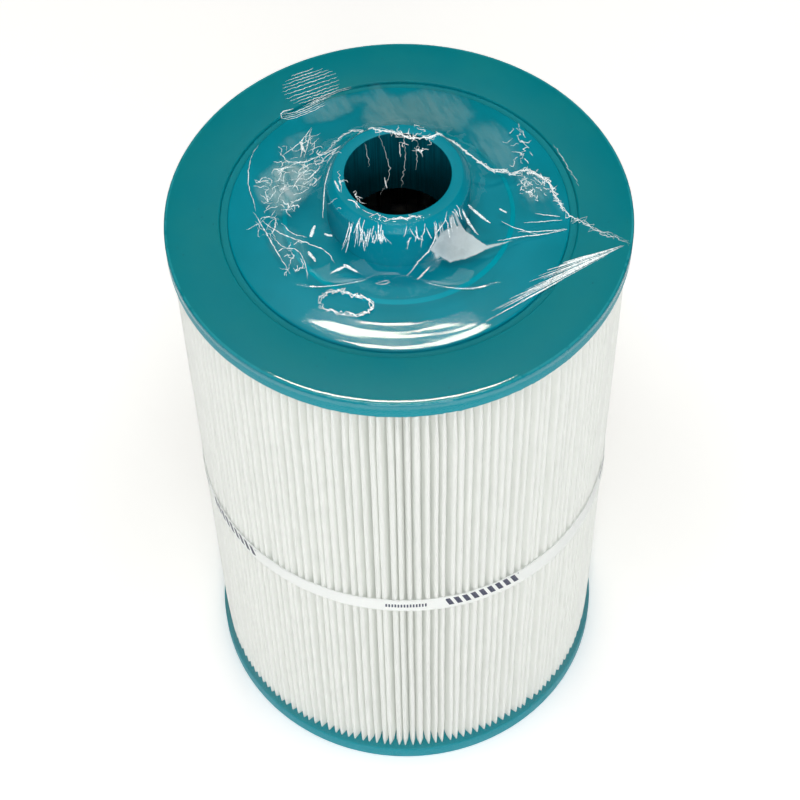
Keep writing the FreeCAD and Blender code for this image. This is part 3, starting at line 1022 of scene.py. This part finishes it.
@dataclass
class Adapter:
    """The moulded flange let into the top cap, the collar on it, and the plug below."""

    boss: float = 51.0
    slope: float = 2.0
    bore: float = 23.85
    tube: float = 26.85
    segments: int = 256

    def build(self) -> None:
        """Turns the flange and collar and dresses all three mouldings."""
        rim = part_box("collar")[1].z / MM
        finish = MouldedPlastic(self.bore, rim, ring_radius=self.boss + self.slope).material()
        for piece, node in ((self.flange(), "adapter_flange"), (self.collar(), "collar")):
            dress(piece, finish)
            settle(piece, "moulded_adapter", node)
        dress_node("bottom_plug", finish)

    def flange(self) -> bpy.types.Object:
        """The disc with its raised boss and the ring that holds the core."""
        low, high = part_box("adapter_flange")
        wide, boss_face, spigot = high.x / MM, high.z / MM, low.z / MM
        face, seat = boss_face - 1.1, boss_face - 5.1
        tube = self.tube
        inner, outer = tube + 1.65, tube + 4.5
        corners = [
            (tube, seat, 0), (inner, seat, 0), (inner, spigot, 0.4), (outer, spigot, 0.4),
            (outer, seat, 0), (wide, seat, 0), (wide, face, 0.9),
            (self.boss + self.slope + 3, face, 0), (self.boss + self.slope, face, 0.8),
            (self.boss, boss_face, 0.8), (self.boss - 4, boss_face, 0), (tube, boss_face, 0),
        ]
        return turn("flange_disc", rounded(corners), self.segments)

    def collar(self) -> bpy.types.Object:
        """The short tube with a chamfered rim."""
        low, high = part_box("collar")
        wide, end, rim = high.x / MM, low.z / MM, high.z / MM
        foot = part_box("adapter_flange")[1].z / MM
        bore = self.bore
        corners = [
            (bore, end, 0.4), (bore + 3, end, 0.4), (bore + 3, foot, 0), (wide, foot, 0),
            (wide, rim - 3.6, 1.2), (wide - 3.2, rim, 0.5), (bore, rim, 0.5),
        ]
        return turn("collar_tube", rounded(corners), self.segments)


@dataclass
class Core:
    """The slotted core's two sections and the strip that clamps the cloth, kept as they are."""

    def build(self) -> None:
        """Dresses the CAD pieces."""
        plastic = CorePlastic().material()
        for node in ("core_lower", "core_upper"):
            dress_node(node, plastic)
        dress_node("media_seam_strip", SeamPlastic().material())


@dataclass
class Strap:
    """The narrow strap round the pleats, lapped on itself, slack on one side."""

    inner: float = 105.1
    lap: float = 12.0
    lap_start: float = 104.0
    slack_at: float = -45.0
    flare: float = 3.2
    drop: float = 1.5
    steps: int = 960
    rows: int = 6
    thickness: float = 0.4

    def build(self, cloth: bpy.types.Object) -> None:
        """Lays the strap round the pleats.

        Args:
            cloth: the pleated cloth that it goes round; not used.
        """
        low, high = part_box("pleat_band")
        middle, width = (low.z + high.z) / 2 / MM, (high.z - low.z) / MM
        band, column, row = flat_sheet("pleat_strap", self.steps, self.rows)
        turn_by = np.radians(self.lap_start + column / self.steps * (360.0 + self.lap))
        across = row / self.rows - 0.5
        lapped = np.clip((column / self.steps * (360 + self.lap) - 357.0) / 3.0, 0, 1)
        front = np.cos(turn_by - math.radians(self.slack_at))
        slack = np.clip(front - 0.55, 0, 1) ** 2 * 3.0
        radius = self.inner + 0.04 * np.cos(turn_by * 160) + lapped * (self.thickness + 0.15)
        radius = radius + slack * self.flare * np.clip(-across + 0.1, 0, 1) + 0.05 * np.sin(turn_by * 23)
        level = middle + across * width + 0.25 * np.sin(turn_by * 3 + 1.0) - slack * self.drop
        level = level + 0.12 * np.sin(turn_by * 41 + across * 3)
        places = np.stack([radius * np.cos(turn_by), radius * np.sin(turn_by), level], axis=1)
        shape_sheet(band, places)
        thicken(band, self.thickness, 1)
        dress(band, StrapCloth(middle, width, self.marks()).material())
        settle(band, "band_cloth", "pleat_band")

    def marks(self) -> tuple[StrapMark, ...]:
        """The printed blocks: a large one with a small one beside it, four times round the strap."""
        blocks = []
        for place in range(4):
            shift = place * 78.0
            blocks.append(StrapMark(shift - 157.5, shift - 136.0, 0.20, 0.80, 9, 0.9))
            blocks.append(StrapMark(shift - 174.0, shift - 162.5, 0.36, 0.62, 14, 0.0))
        return tuple(blocks)


@dataclass
class ShrinkWrap:
    """The clear film over the whole cartridge, tented over the collar."""

    columns: int = 540
    gap: float = 0.3
    side: float = 107.5
    hem: float = 2.0
    bore_edge: float = 24.0
    lip: float = 29.4
    chamfer: float = 3.6
    corner: float = 1.6
    sag: float = 0.8
    ledge_end: float = 78.6
    ledge_slope: float = 15.0
    crumple_at: tuple[float, float] = (-54.0, 15.0)
    crumple_reach: float = 30.0

    def build(self) -> None:
        """Draws the film over the parts and lays on it its seam and its white lines: crease lines and painted
        glints.
        """
        film = self.film()
        dress(film, ClearFilm(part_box("collar")[1].z / MM).material())
        settle(film, "clear_film", "shrink_film")
        drawn = FilmLines(film)
        seam, creases_and_glints = drawn.seam(), drawn.creases_and_glints()
        dress(seam, GlowingFilmLine("film_seam", 0.45, 1.0).material())
        dress(creases_and_glints, GlowingFilmLine("film_crease_glints", 0.30, 1.0).material())
        for piece in (seam, creases_and_glints):
            settle(piece, "clear_film")

    def foot(self, turned: np.ndarray) -> np.ndarray:
        """Radius at which the tented film comes down to the cap's face.

        Args:
            turned: directions about the axis, in degrees from -180 to 180.

        Returns:
            The radii in millimetres.
        """
        bearings = [-180, -150, -125, -108, -80, -65, -40, -10, 45, 90, 135, 180]
        radii = np.interp(turned, bearings, [80, 74, 52, 37, 37, 50, 66, 67, 76, 74, 77, 80])
        wrapped = np.concatenate([radii[-21:-1], radii, radii[1:21]])
        return np.convolve(wrapped, np.ones(41) / 41, "valid")

    def film(self) -> bpy.types.Object:
        """The film itself: one sheet from the bore's middle to its hem."""
        turned = np.linspace(-180.0, 180.0, self.columns + 1)
        angle = np.radians(turned)
        start, end, radius, level = self.rings(angle, self.foot(turned))
        piece, column, row = flat_sheet("film_wrap", self.columns, len(radius) - 1)
        self.wrinkle(radius, level, angle, start, end)
        places = np.stack([radius * np.cos(angle), radius * np.sin(angle), level], axis=2)
        shape_sheet(piece, places[row, column])
        piece.data.flip_normals()
        return piece

    def rings(self, angle: np.ndarray, foot: np.ndarray) -> tuple[int, int, np.ndarray, np.ndarray]:
        """The film's rings: over the bore, down the tent, across the cap, round its edge and down the side.

        Args:
            angle: directions about the axis.
            foot: where the tent ends in each direction, in millimetres.

        Returns:
            The first tented ring, the first ring past the cap's face, and every ring's radii and heights.
        """
        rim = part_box("collar")[1].z / MM + self.gap
        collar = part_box("collar")[1].x / MM + self.gap
        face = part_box("top_end_cap")[1].z / MM + self.gap
        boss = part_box("adapter_flange")[1].z / MM + self.gap
        ease = np.clip((foot - 43) / 37, 0, 1)
        spread, steep = 1.9 - 0.6 * ease, 1.25 + 0.7 * ease
        rings = []
        for r in np.linspace(0.0, self.bore_edge, 13):
            rings.append((r, rim - self.sag * (1 - (r / self.bore_edge) ** 2)))
        for share in (0.35, 0.7, 1.0):
            rings.append((self.bore_edge + (self.lip - self.bore_edge) * share, rim))
        for share in (0.35, 0.7, 1.0):
            rings.append((self.lip + (collar - self.lip) * share, rim - self.chamfer * share))
        start = len(rings)
        for share in np.linspace(0, 1, 38)[1:]:
            r = collar + (foot - collar) * share ** spread
            ground = self.ground(r, face, boss)
            rings.append((r, ground + (rim - self.chamfer - ground) * (1 - share) ** steep))
        for share in np.linspace(0, 1, 46)[1:]:
            r = foot + (self.side - self.corner - foot) * share
            rings.append((r, self.ground(r, face, boss)))
        end = len(rings)
        for turned in np.linspace(0, math.pi / 2, 6)[1:]:
            inset, drop = 1 - math.sin(turned), 1 - math.cos(turned)
            rings.append((self.side - self.corner * inset, face - self.corner * drop))
        for share in np.concatenate([np.linspace(0, 0.09, 9)[1:], np.linspace(0.12, 1, 24)]):
            rings.append((self.side, face - self.corner - (face - self.corner - self.hem) * share))
        radius, level = (np.array([ring[i] + 0 * angle for ring in rings]) for i in range(2))
        return start, end, radius, level

    def ground(self, r: np.ndarray, face: float, boss: float) -> np.ndarray:
        """Height of the film where it lies on the cap: level with the boss, then down to the groove's lip.

        Args:
            r: radii in millimetres.
            face: the film's height over the cap's face.
            boss: the film's height over the boss.

        Returns:
            The heights in millimetres.
        """
        share = np.clip((self.ledge_end - r) / self.ledge_slope, 0, 1)
        return face + (boss - face) * (share - 0.15 * np.sin(2 * math.pi * share) / (2 * math.pi))

    def wrinkle(self, radius: np.ndarray, level: np.ndarray, angle: np.ndarray, start: int,
                end: int) -> None:
        """Folds and crumples the tented rows.

        Args:
            radius: radii by row and column, in millimetres.
            level: heights by row and column, changed here.
            angle: directions about the axis.
            start: the first tented row.
            end: the row after the last on the cap's face.
        """
        for i in range(start, end):
            share = (i - start) / (end - start)
            for j, turned in enumerate(angle[:-1]):
                x, y = radius[i, j] * math.cos(turned), radius[i, j] * math.sin(turned)
                away = math.hypot(x - self.crumple_at[0], y - self.crumple_at[1])
                crumple = max(0.0, 1.0 - away / self.crumple_reach)
                spot = Vector((x * 0.22, y * 0.22, 2.0))
                folds = noise.noise(Vector((math.degrees(turned) * 0.16, share * 2.0, 7.0)))
                side = 0.5 - 0.5 * math.sin(turned - 0.9)
                tented = min(1.0, max(0.0, (level[i, j] - 347.0) / 3.0))
                lift = crumple * 2.2 * abs(noise.noise(spot)) + 0.3 * tented * noise.noise(spot * 0.5)
                fold = 1.3 * max(0.0, 1 - share * 1.6) * min(1.0, share * 5) * folds * (1 - side * 0.6)
                level[i, j] += max(-0.1, lift) + fold * (0.4 if y < -20 else 1.0)
            level[i, -1] = level[i, 0]


@dataclass(frozen=True)
class Stroke:
    """A white line on the film.

    Each place is X and Y in millimetres, or X, Y and height for one on the collar's wall. width is
    the line's radius, shake how far it wanders, and copies and apart lay it again beside itself.
    """

    places: tuple[tuple[float, ...], ...]
    width: float = 0.22
    shake: float = 0.12
    copies: int = 1
    apart: float = 1.0

    def softened(self) -> list[tuple[float, ...]]:
        """Its places with each corner cut, so that it bends where it would kink."""
        if len(self.places) < 3 or len({len(place) for place in self.places}) > 1:
            return list(self.places)
        places = [np.array(place, float) for place in self.places]
        bends = [places[0]]
        for here, ahead in zip(places, places[1:]):
            bends += [here * 0.75 + ahead * 0.25, here * 0.25 + ahead * 0.75]
        return [tuple(place) for place in bends + [places[-1]]]


@dataclass
class FilmLines:
    """White lines on the film: its welded seam, the crease lines that shrinking leaves, and painted glints
    and highlights where wrinkles catch the light.
    """

    film: bpy.types.Object
    seed: int = 5
    pace: float = 1.3

    def seam(self) -> bpy.types.Object:
        """The welded edge, a crinkled bead from the left of the collar to the cap's rim."""
        run = (
            (-33, 26), (-29.5, 31), (-25.5, 41), (-19, 44), (-14, 33), (-10, 26), (0, 24), (8, 20),
            (17, 20.5), (24.5, 31), (28, 26), (31, 23), (40, 18), (44, 16), (49.5, 20), (52, 17),
            (57, 22), (62, 21), (66.5, 18.5), (70.5, 13), (72, 6), (75, -1), (78.5, -5.5), (84, -8),
            (89, -14), (95.5, -17), (103.5, -21),
        )
        strands = [Stroke(run, 0.32, 0.5), Stroke(run, 0.24, 0.9), Stroke(run, 0.16, 1.4)]
        knot = Stroke(run[15:22], 0.3, 1.2)
        return self.draw("film_seam", strands + [knot])

    def creases_and_glints(self) -> bpy.types.Object:
        """Every crease line, painted glint and painted highlight, as one piece."""
        rng = np.random.default_rng(self.seed + 1)
        strokes = self.left_folds_and_glints() + self.front_folds_and_glints() + self.right_folds_and_glints() + self.bore_folds_and_glints()
        strokes += self.fan(rng) + self.walls(rng) + self.stripes()
        for middle, reach, count, pace in (
            ((-50, 12), (14, 16), 70, 2.6), ((-45, 36), (10, 12), 14, 3.4), ((-60, -8), (6, 9), 14, 3.0),
            ((-49, -30), (5, 9), 12, 2.4), ((-33, 20), (4, 12), 16, 3.0), ((62, 13), (7, 9), 46, 1.4),
            ((57, 38), (5, 14), 12, 1.8), ((8, 20), (9, 7), 22, 2.0), ((-22, -13), (5, 9), 10, 1.6),
        ):
            strokes += self.crumple(rng, middle, reach, count, pace)
        return self.draw("film_crease_glints", strokes)

    def left_folds_and_glints(self) -> list[Stroke]:
        """The single folds to the left of the collar, and between it and the stripes, with painted glints
        among them.
        """
        return [
            Stroke(((-66, 0), (-60, -13), (-54.5, -25), (-49, -36)), 0.26),
            Stroke(((-62, -6), (-55, -14), (-47, -20), (-38, -25), (-32, -29), (-29, -33.5)), 0.30),
            Stroke(((-53, -10), (-47.5, -17.5), (-41, -21)), 0.24),
            Stroke(((-57, -16), (-52, -23), (-45, -25), (-42, -32), (-41, -39)), 0.22),
            Stroke(((-65, 42), (-68, 36), (-69, 27), (-69, 16), (-66, 6), (-65, 0)), 0.20),
            Stroke(((-40, 51), (-44, 42), (-48, 38), (-53, 33)), 0.26),
            Stroke(((-44, 42), (-44.5, 29)), 0.22),
            Stroke(((-40, 50), (-43, 28)), 0.2),
            Stroke(((-55, 36), (-51, 28), (-47, 26), (-39, 24), (-33, 26)), 0.28),
            # Short broad strokes: painted glints on small facets of the film.
            Stroke(((-39.5, -21), (-37.5, -17)), 1.0),
            Stroke(((-40.5, -27), (-37.5, -32)), 1.0),
            Stroke(((-33, -22), (-30, -24)), 0.8),
            Stroke(((-30, -37), (-24, -35)), 0.8),
            Stroke(((-25, -34.5), (-19, -37)), 0.6),
            Stroke(((-45, 41), (-43, 33)), 0.7),
            Stroke(((-31, -37.5), (-28, -36), (-25.5, -35), (-18, -37.5)), 0.24),
            Stroke(((-29, 7.5, 372), (-31, 0, 371), (-33, -6, 368), (-34.5, -16, 362)), 0.3),
            # Four fine lines along the groove's lip: painted glints.
            Stroke(((-54.5, 61), (-50, 60), (-41, 64.5), (-34, 69)), 0.17, copies=4, apart=1.2),
            Stroke(((-54, 59), (-55, 63), (-49, 65)), 0.3),
            Stroke(((-44, 66), (-30, 75), (-21, 78)), 0.12, copies=2),
        ]

    def front_folds_and_glints(self) -> list[Stroke]:
        """The single folds in front of the collar, and painted reflections among them: the looped line round
        a glare and the broad strokes.
        """
        loop = (
            (-36, -53), (-35, -48), (-28, -45), (-24, -47), (-15, -50), (-12, -54), (-15, -59),
            (-25, -59), (-34, -55), (-36, -53),
        )
        return [
            # A looped line round a painted glare.
            Stroke(loop, 0.34, 0.6, copies=3, apart=0.4),
            Stroke(((-11, -42), (-7, -40.5), (-4, -41), (-7, -42.5), (-11, -42)), 0.2),
            Stroke(((3, -38), (8, -35.5), (13, -33), (16.5, -29, 366), (21, -22, 372)), 0.34),
            # The broad strokes here: painted reflections, most at the collar's right-hand foot.
            Stroke(((31, -13.5, 366), (36, -14, 361), (41, -15, 355)), 0.85, 0.05),
            Stroke(((7.5, -40), (10.5, -38.5), (13, -37)), 0.7, 0.05),
            Stroke(((45.5, -6), (48.5, -6.5)), 0.7, 0.05),
            Stroke(((44, -22.5), (54, -18), (66, -15.5), (76, -12.5)), 0.34, 0.05),
            Stroke(((29, -18, 368), (32, -20, 361), (34.5, -22, 356)), 0.7, 0.05),
        ]

    def right_folds_and_glints(self) -> list[Stroke]:
        """The single folds and painted glints to the right of the collar."""
        return [
            Stroke(((57, 50), (59, 46), (55, 43), (61, 39), (58, 33), (57, 30), (57, 26)), 0.2, 0.6),
            Stroke(((73, 39), (76, 31), (79.5, 23), (83, 13)), 0.12, 0.3),
            Stroke(((53.5, -15.5), (75.5, -12.5)), 0.22),
            Stroke(((56.5, -10), (74, -7)), 0.2),
            Stroke(((62, -4), (73, -5)), 0.24),
            Stroke(((46, -12), (62, -16)), 0.2),
        ]

    def bore_folds_and_glints(self) -> list[Stroke]:
        """The single folds over the bore, and painted glints round its edge."""
        return [
            Stroke(((-9, 25), (-5, 12), (-3, 0), (-8, -12)), 0.08, 0.3),
            Stroke(((3, 23), (4, 8), (1, -8)), 0.08, 0.3),
            Stroke(((-14, 18), (-13, 4)), 0.07, 0.3),
            Stroke(((9, 18), (8, 2)), 0.07, 0.3),
            Stroke(((-6, -2), (-5, -8)), 0.3),
            Stroke(((-26, -10), (-28, -4)), 0.5),
            Stroke(((-22, -14), (-17, -20)), 0.3, 0.6),
            Stroke(((-17, -20), (-10, -26), (-3, -27), (4, -26), (10, -26)), 0.26, 0.9),
            Stroke(((-3, -27), (10, -26)), 0.4, 0.7),
            Stroke(((-27, 2), (-25, -10)), 0.16, 0.5),
        ]

    def fan(self, rng: np.random.Generator) -> list[Stroke]:
        """Rays pulled from one point of the cap's rim: white crease lines, partly painted highlights where
        fine wrinkles catch the light.

        Args:
            rng: where the rays' lengths and bearings come from.

        Returns:
            The rays.
        """
        rays = []
        for _ in range(34):
            bearing = rng.uniform(19.0, 33.0)
            reach = 32.0 + (bearing - 19.0) * 3.6
            far = reach * rng.uniform(0.62, 1.0)
            near = far * rng.uniform(0.05, 0.75)
            swing = math.radians(bearing)
            ends = [(103.5 - d * math.cos(swing), -21.0 - d * math.sin(swing)) for d in (near, far)]
            rays.append(Stroke(tuple(ends), rng.uniform(0.10, 0.16 + 0.28 * near / reach), 0.04))
        return rays

    def walls(self, rng: np.random.Generator) -> list[Stroke]:
        """Lines drawn down the collar's wall: painted highlights where its wrinkles catch the light.

        Args:
            rng: where the lines' places and lengths come from.

        Returns:
            The lines.
        """
        lines = []
        for first, last, count in ((-132.0, -100.0, 34), (-86.0, -68.0, 12), (-64.0, -33.0, 10)):
            for bearing in rng.uniform(first, last, count):
                high = rng.uniform(367.0, 372.8)
                low = high - rng.uniform(2.5, 7.0) - max(0.0, -104.0 - bearing) * rng.uniform(0.0, 0.5)
                places = []
                for level, turned in ((high, bearing), (low, bearing + rng.normal(0, 2.5))):
                    a = math.radians(turned)
                    places.append((32.0 * math.cos(a), 32.0 * math.sin(a), level))
                lines.append(Stroke(tuple(places), rng.uniform(0.12, 0.30), 0.06))
        return lines

    def stripes(self) -> list[Stroke]:
        """Fine parallel lines across an oval behind the collar, on the left: painted highlights of fine
        parallel wrinkles.
        """
        lines = []
        for i in range(11):
            across = (i - 5) * 2.1
            half = 14.0 * math.sqrt(1 - (across / 11.6) ** 2)
            ends = []
            for along in (-half, 0.0, half):
                a = math.radians(24.0)
                ends.append((-40.5 + along * math.cos(a) - across * math.sin(a),
                             79.5 + along * math.sin(a) + across * math.cos(a) + 0.4 * math.cos(i)))
            lines.append(Stroke(tuple(ends), 0.17, 0.18))
        return lines

    def crumple(self, rng: np.random.Generator, middle: tuple[float, float], reach: tuple[float, float],
                count: int, pace: float) -> list[Stroke]:
        """Short jagged creases that fill an oval.

        Args:
            rng: where they come from.
            middle: the oval's middle in millimetres.
            reach: its half sizes in millimetres.
            count: how many creases.
            pace: length of each straight part in millimetres.

        Returns:
            The creases.
        """
        strokes = []
        for _ in range(count):
            out, bearing = math.sqrt(rng.uniform(0, 1)), rng.uniform(0, 2 * math.pi)
            spot = np.array([middle[0] + reach[0] * out * math.cos(bearing),
                             middle[1] + reach[1] * out * math.sin(bearing)])
            heading = rng.uniform(0, 2 * math.pi)
            places = [tuple(spot)]
            for _ in range(rng.integers(3, 12)):
                heading += rng.normal(0, 0.6)
                spot = spot + pace * rng.uniform(0.2, 0.5) * np.array([math.cos(heading), math.sin(heading)])
                places.append(tuple(spot))
            strokes.append(Stroke(tuple(places), rng.uniform(0.08, 0.25), 0.08))
        return strokes

    def draw(self, name: str, strokes: Sequence[Stroke]) -> bpy.types.Object:
        """Lays strokes on the film as thin tapered beads.

        Args:
            name: the piece's name.
            strokes: the strokes.

        Returns:
            The piece.
        """
        rng = np.random.default_rng(self.seed)
        line = bpy.data.curves.new(name, "CURVE")
        line.dimensions = "3D"
        line.bevel_depth = 1.0 * MM
        line.bevel_resolution = 0
        line.use_fill_caps = True
        for stroke in strokes:
            for copy in range(stroke.copies):
                spots = self.lay(stroke, (copy - (stroke.copies - 1) / 2) * stroke.apart, rng)
                if len(spots) < 2:
                    continue
                spline = line.splines.new("POLY")
                spline.points.add(len(spots) - 1)
                for i, (point, spot) in enumerate(zip(spline.points, spots)):
                    taper = math.sin(math.pi * (i + 0.6) / (len(spots) + 0.2)) ** 0.6
                    point.co = (*spot, 1.0)
                    point.radius = stroke.width * taper * rng.uniform(0.6, 1.25)
        deselect_all()
        piece = bpy.data.objects.new(name, line)
        bpy.context.scene.collection.objects.link(piece)
        piece.select_set(True)
        bpy.context.view_layer.objects.active = piece
        bpy.ops.object.convert(target="MESH")
        return bpy.context.object

    def lay(self, stroke: Stroke, aside: float, rng: np.random.Generator) -> list[Vector]:
        """Where a stroke's points lie on the film.

        Args:
            stroke: the stroke.
            aside: how far to its left it is moved, in millimetres.
            rng: where its wandering comes from.

        Returns:
            The points.
        """
        spots = []
        places = stroke.softened()
        for here, ahead in zip(places, places[1:]):
            on_wall = len(here) == 3 and len(ahead) == 3
            first, last = np.array(here[:2], float), np.array(ahead[:2], float)
            reach = last - first
            long = max(float(np.hypot(*reach)), abs(ahead[2] - here[2]) if on_wall else 0.0, 0.1)
            left = np.array([-reach[1], reach[0]]) / max(float(np.hypot(*reach)), 0.1)
            for share in np.linspace(0, 1, max(2, int(long / self.pace) + 1)):
                spot = first + reach * share + left * aside + rng.normal(0, stroke.shake, 2)
                if on_wall:
                    level = here[2] + (ahead[2] - here[2]) * share
                    inward = Vector((-spot[0], -spot[1], 0)).normalized()
                    start = Vector((spot[0], spot[1], level)) - inward * 80.0
                else:
                    start, inward = Vector((spot[0], spot[1], 500.0)), Vector((0, 0, -1))
                hit, where, facing, _ = self.film.ray_cast(start * MM, inward)
                if hit:
                    spots.append(where + facing * (0.08 * MM))
        return spots


# ---------------------------------------------------------------- studio


class Lamp(Enum):
    """The studio's soft lamps: place, aim, width, height, power in watts and colour."""

    KEY = ((0.10, -1.78, 1.05), (0.0, 0.0, 0.20), 1.1, 0.9, 11.8, (1.0, 1.0, 1.0))
    LEFT = ((-1.7, -0.7, 0.9), (0.0, 0.0, 0.2), 0.9, 1.2, 1.8, (1.0, 1.0, 1.0))
    RIGHT = ((1.7, -0.5, 1.0), (0.0, 0.0, 0.2), 0.9, 1.2, 0.8, (1.0, 1.0, 1.0))
    OVER = ((0.0, -0.45, 2.1), (0.0, 0.0, 0.2), 1.3, 0.8, 13.6, (1.0, 1.0, 1.0))
    STRIP = ((-0.02, 0.640, 1.667), (0.0, -0.071, 0.346), 0.42, 0.13, 5.2, (1.0, 0.955, 0.78))


@dataclass
class Studio:
    """Pale floor, soft light and the camera."""

    aim: tuple[float, float, float] = (-0.0014, 0.0, 0.197)
    elevation: float = 55.0
    distance: float = 1.0706
    roll: float = -1.34
    lens: float = 93.65
    floor_size: float = 24.0

    def build(self) -> None:
        """Sets the floor, the lamps, the surroundings and the camera."""
        self.floor()
        for lamp in Lamp:
            self.lamp(lamp)
        self.surroundings()
        self.camera()
        bpy.context.scene.view_settings.view_transform = "Standard"

    def floor(self) -> None:
        """A wide sheet of paper under everything."""
        deselect_all()
        bpy.ops.mesh.primitive_plane_add(size=self.floor_size)
        paper = bpy.context.object
        paper.name = "studio_floor"
        dress(paper, StudioPaper().material())

    def lamp(self, lamp: Lamp) -> None:
        """Hangs one soft lamp.

        Args:
            lamp: which lamp.
        """
        place, aim, width, height, power, colour = lamp.value
        light = bpy.data.lights.new(lamp.name.lower(), "AREA")
        light.shape = "RECTANGLE"
        light.size, light.size_y = width, height
        light.energy = power
        light.color = colour
        holder = bpy.data.objects.new(light.name, light)
        bpy.context.scene.collection.objects.link(holder)
        facing = Vector(aim) - Vector(place)
        holder.matrix_world = Matrix.Translation(place) @ facing.to_track_quat("-Z", "Y").to_matrix().to_4x4()

    def surroundings(self) -> None:
        """A dim room, lighter in front than behind."""
        world = bpy.data.worlds.new("room")
        world.use_nodes = True
        bpy.context.scene.world = world
        tree = world.node_tree
        tree.nodes.clear()
        where = tree.nodes.new("ShaderNodeTexCoord")
        split = tree.nodes.new("ShaderNodeSeparateXYZ")
        ramp = tree.nodes.new("ShaderNodeMapRange")
        glow = tree.nodes.new("ShaderNodeBackground")
        end = tree.nodes.new("ShaderNodeOutputWorld")
        ramp.inputs["From Min"].default_value = 0.3
        ramp.inputs["From Max"].default_value = -0.5
        ramp.inputs["To Min"].default_value = 0.006
        ramp.inputs["To Max"].default_value = 0.15
        glow.inputs["Color"].default_value = (1.0, 1.0, 1.0, 1.0)
        tree.links.new(where.outputs["Generated"], split.inputs[0])
        tree.links.new(split.outputs["Y"], ramp.inputs["Value"])
        tree.links.new(ramp.outputs[0], glow.inputs["Strength"])
        tree.links.new(glow.outputs[0], end.inputs["Surface"])

    def camera(self) -> None:
        """Looks down at the cartridge from the front."""
        lens = bpy.data.cameras.new("camera")
        lens.lens = self.lens
        lens.sensor_width = 36.0
        holder = bpy.data.objects.new("camera", lens)
        bpy.context.scene.collection.objects.link(holder)
        rise = math.radians(self.elevation)
        aim = Vector(self.aim)
        place = aim + self.distance * Vector((0.0, -math.cos(rise), math.sin(rise)))
        place.x = 0.0
        turned = (aim - place).to_track_quat("-Z", "Y").to_matrix().to_4x4()
        rolled = turned @ Matrix.Rotation(math.radians(self.roll), 4, "Z")
        holder.matrix_world = Matrix.Translation(place) @ rolled
        bpy.context.scene.camera = holder


def main() -> None:
    """Builds the cartridge from the inside out, then the studio."""
    logging.basicConfig(level=logging.INFO, format="%(name)s: %(message)s")
    Core().build()
    cloth = PleatedMedia().build()
    EndCaps().build()
    Adapter().build()
    Strap().build(cloth)
    ShrinkWrap().build()
    Studio().build()


if __name__ == "__main__":
    main()
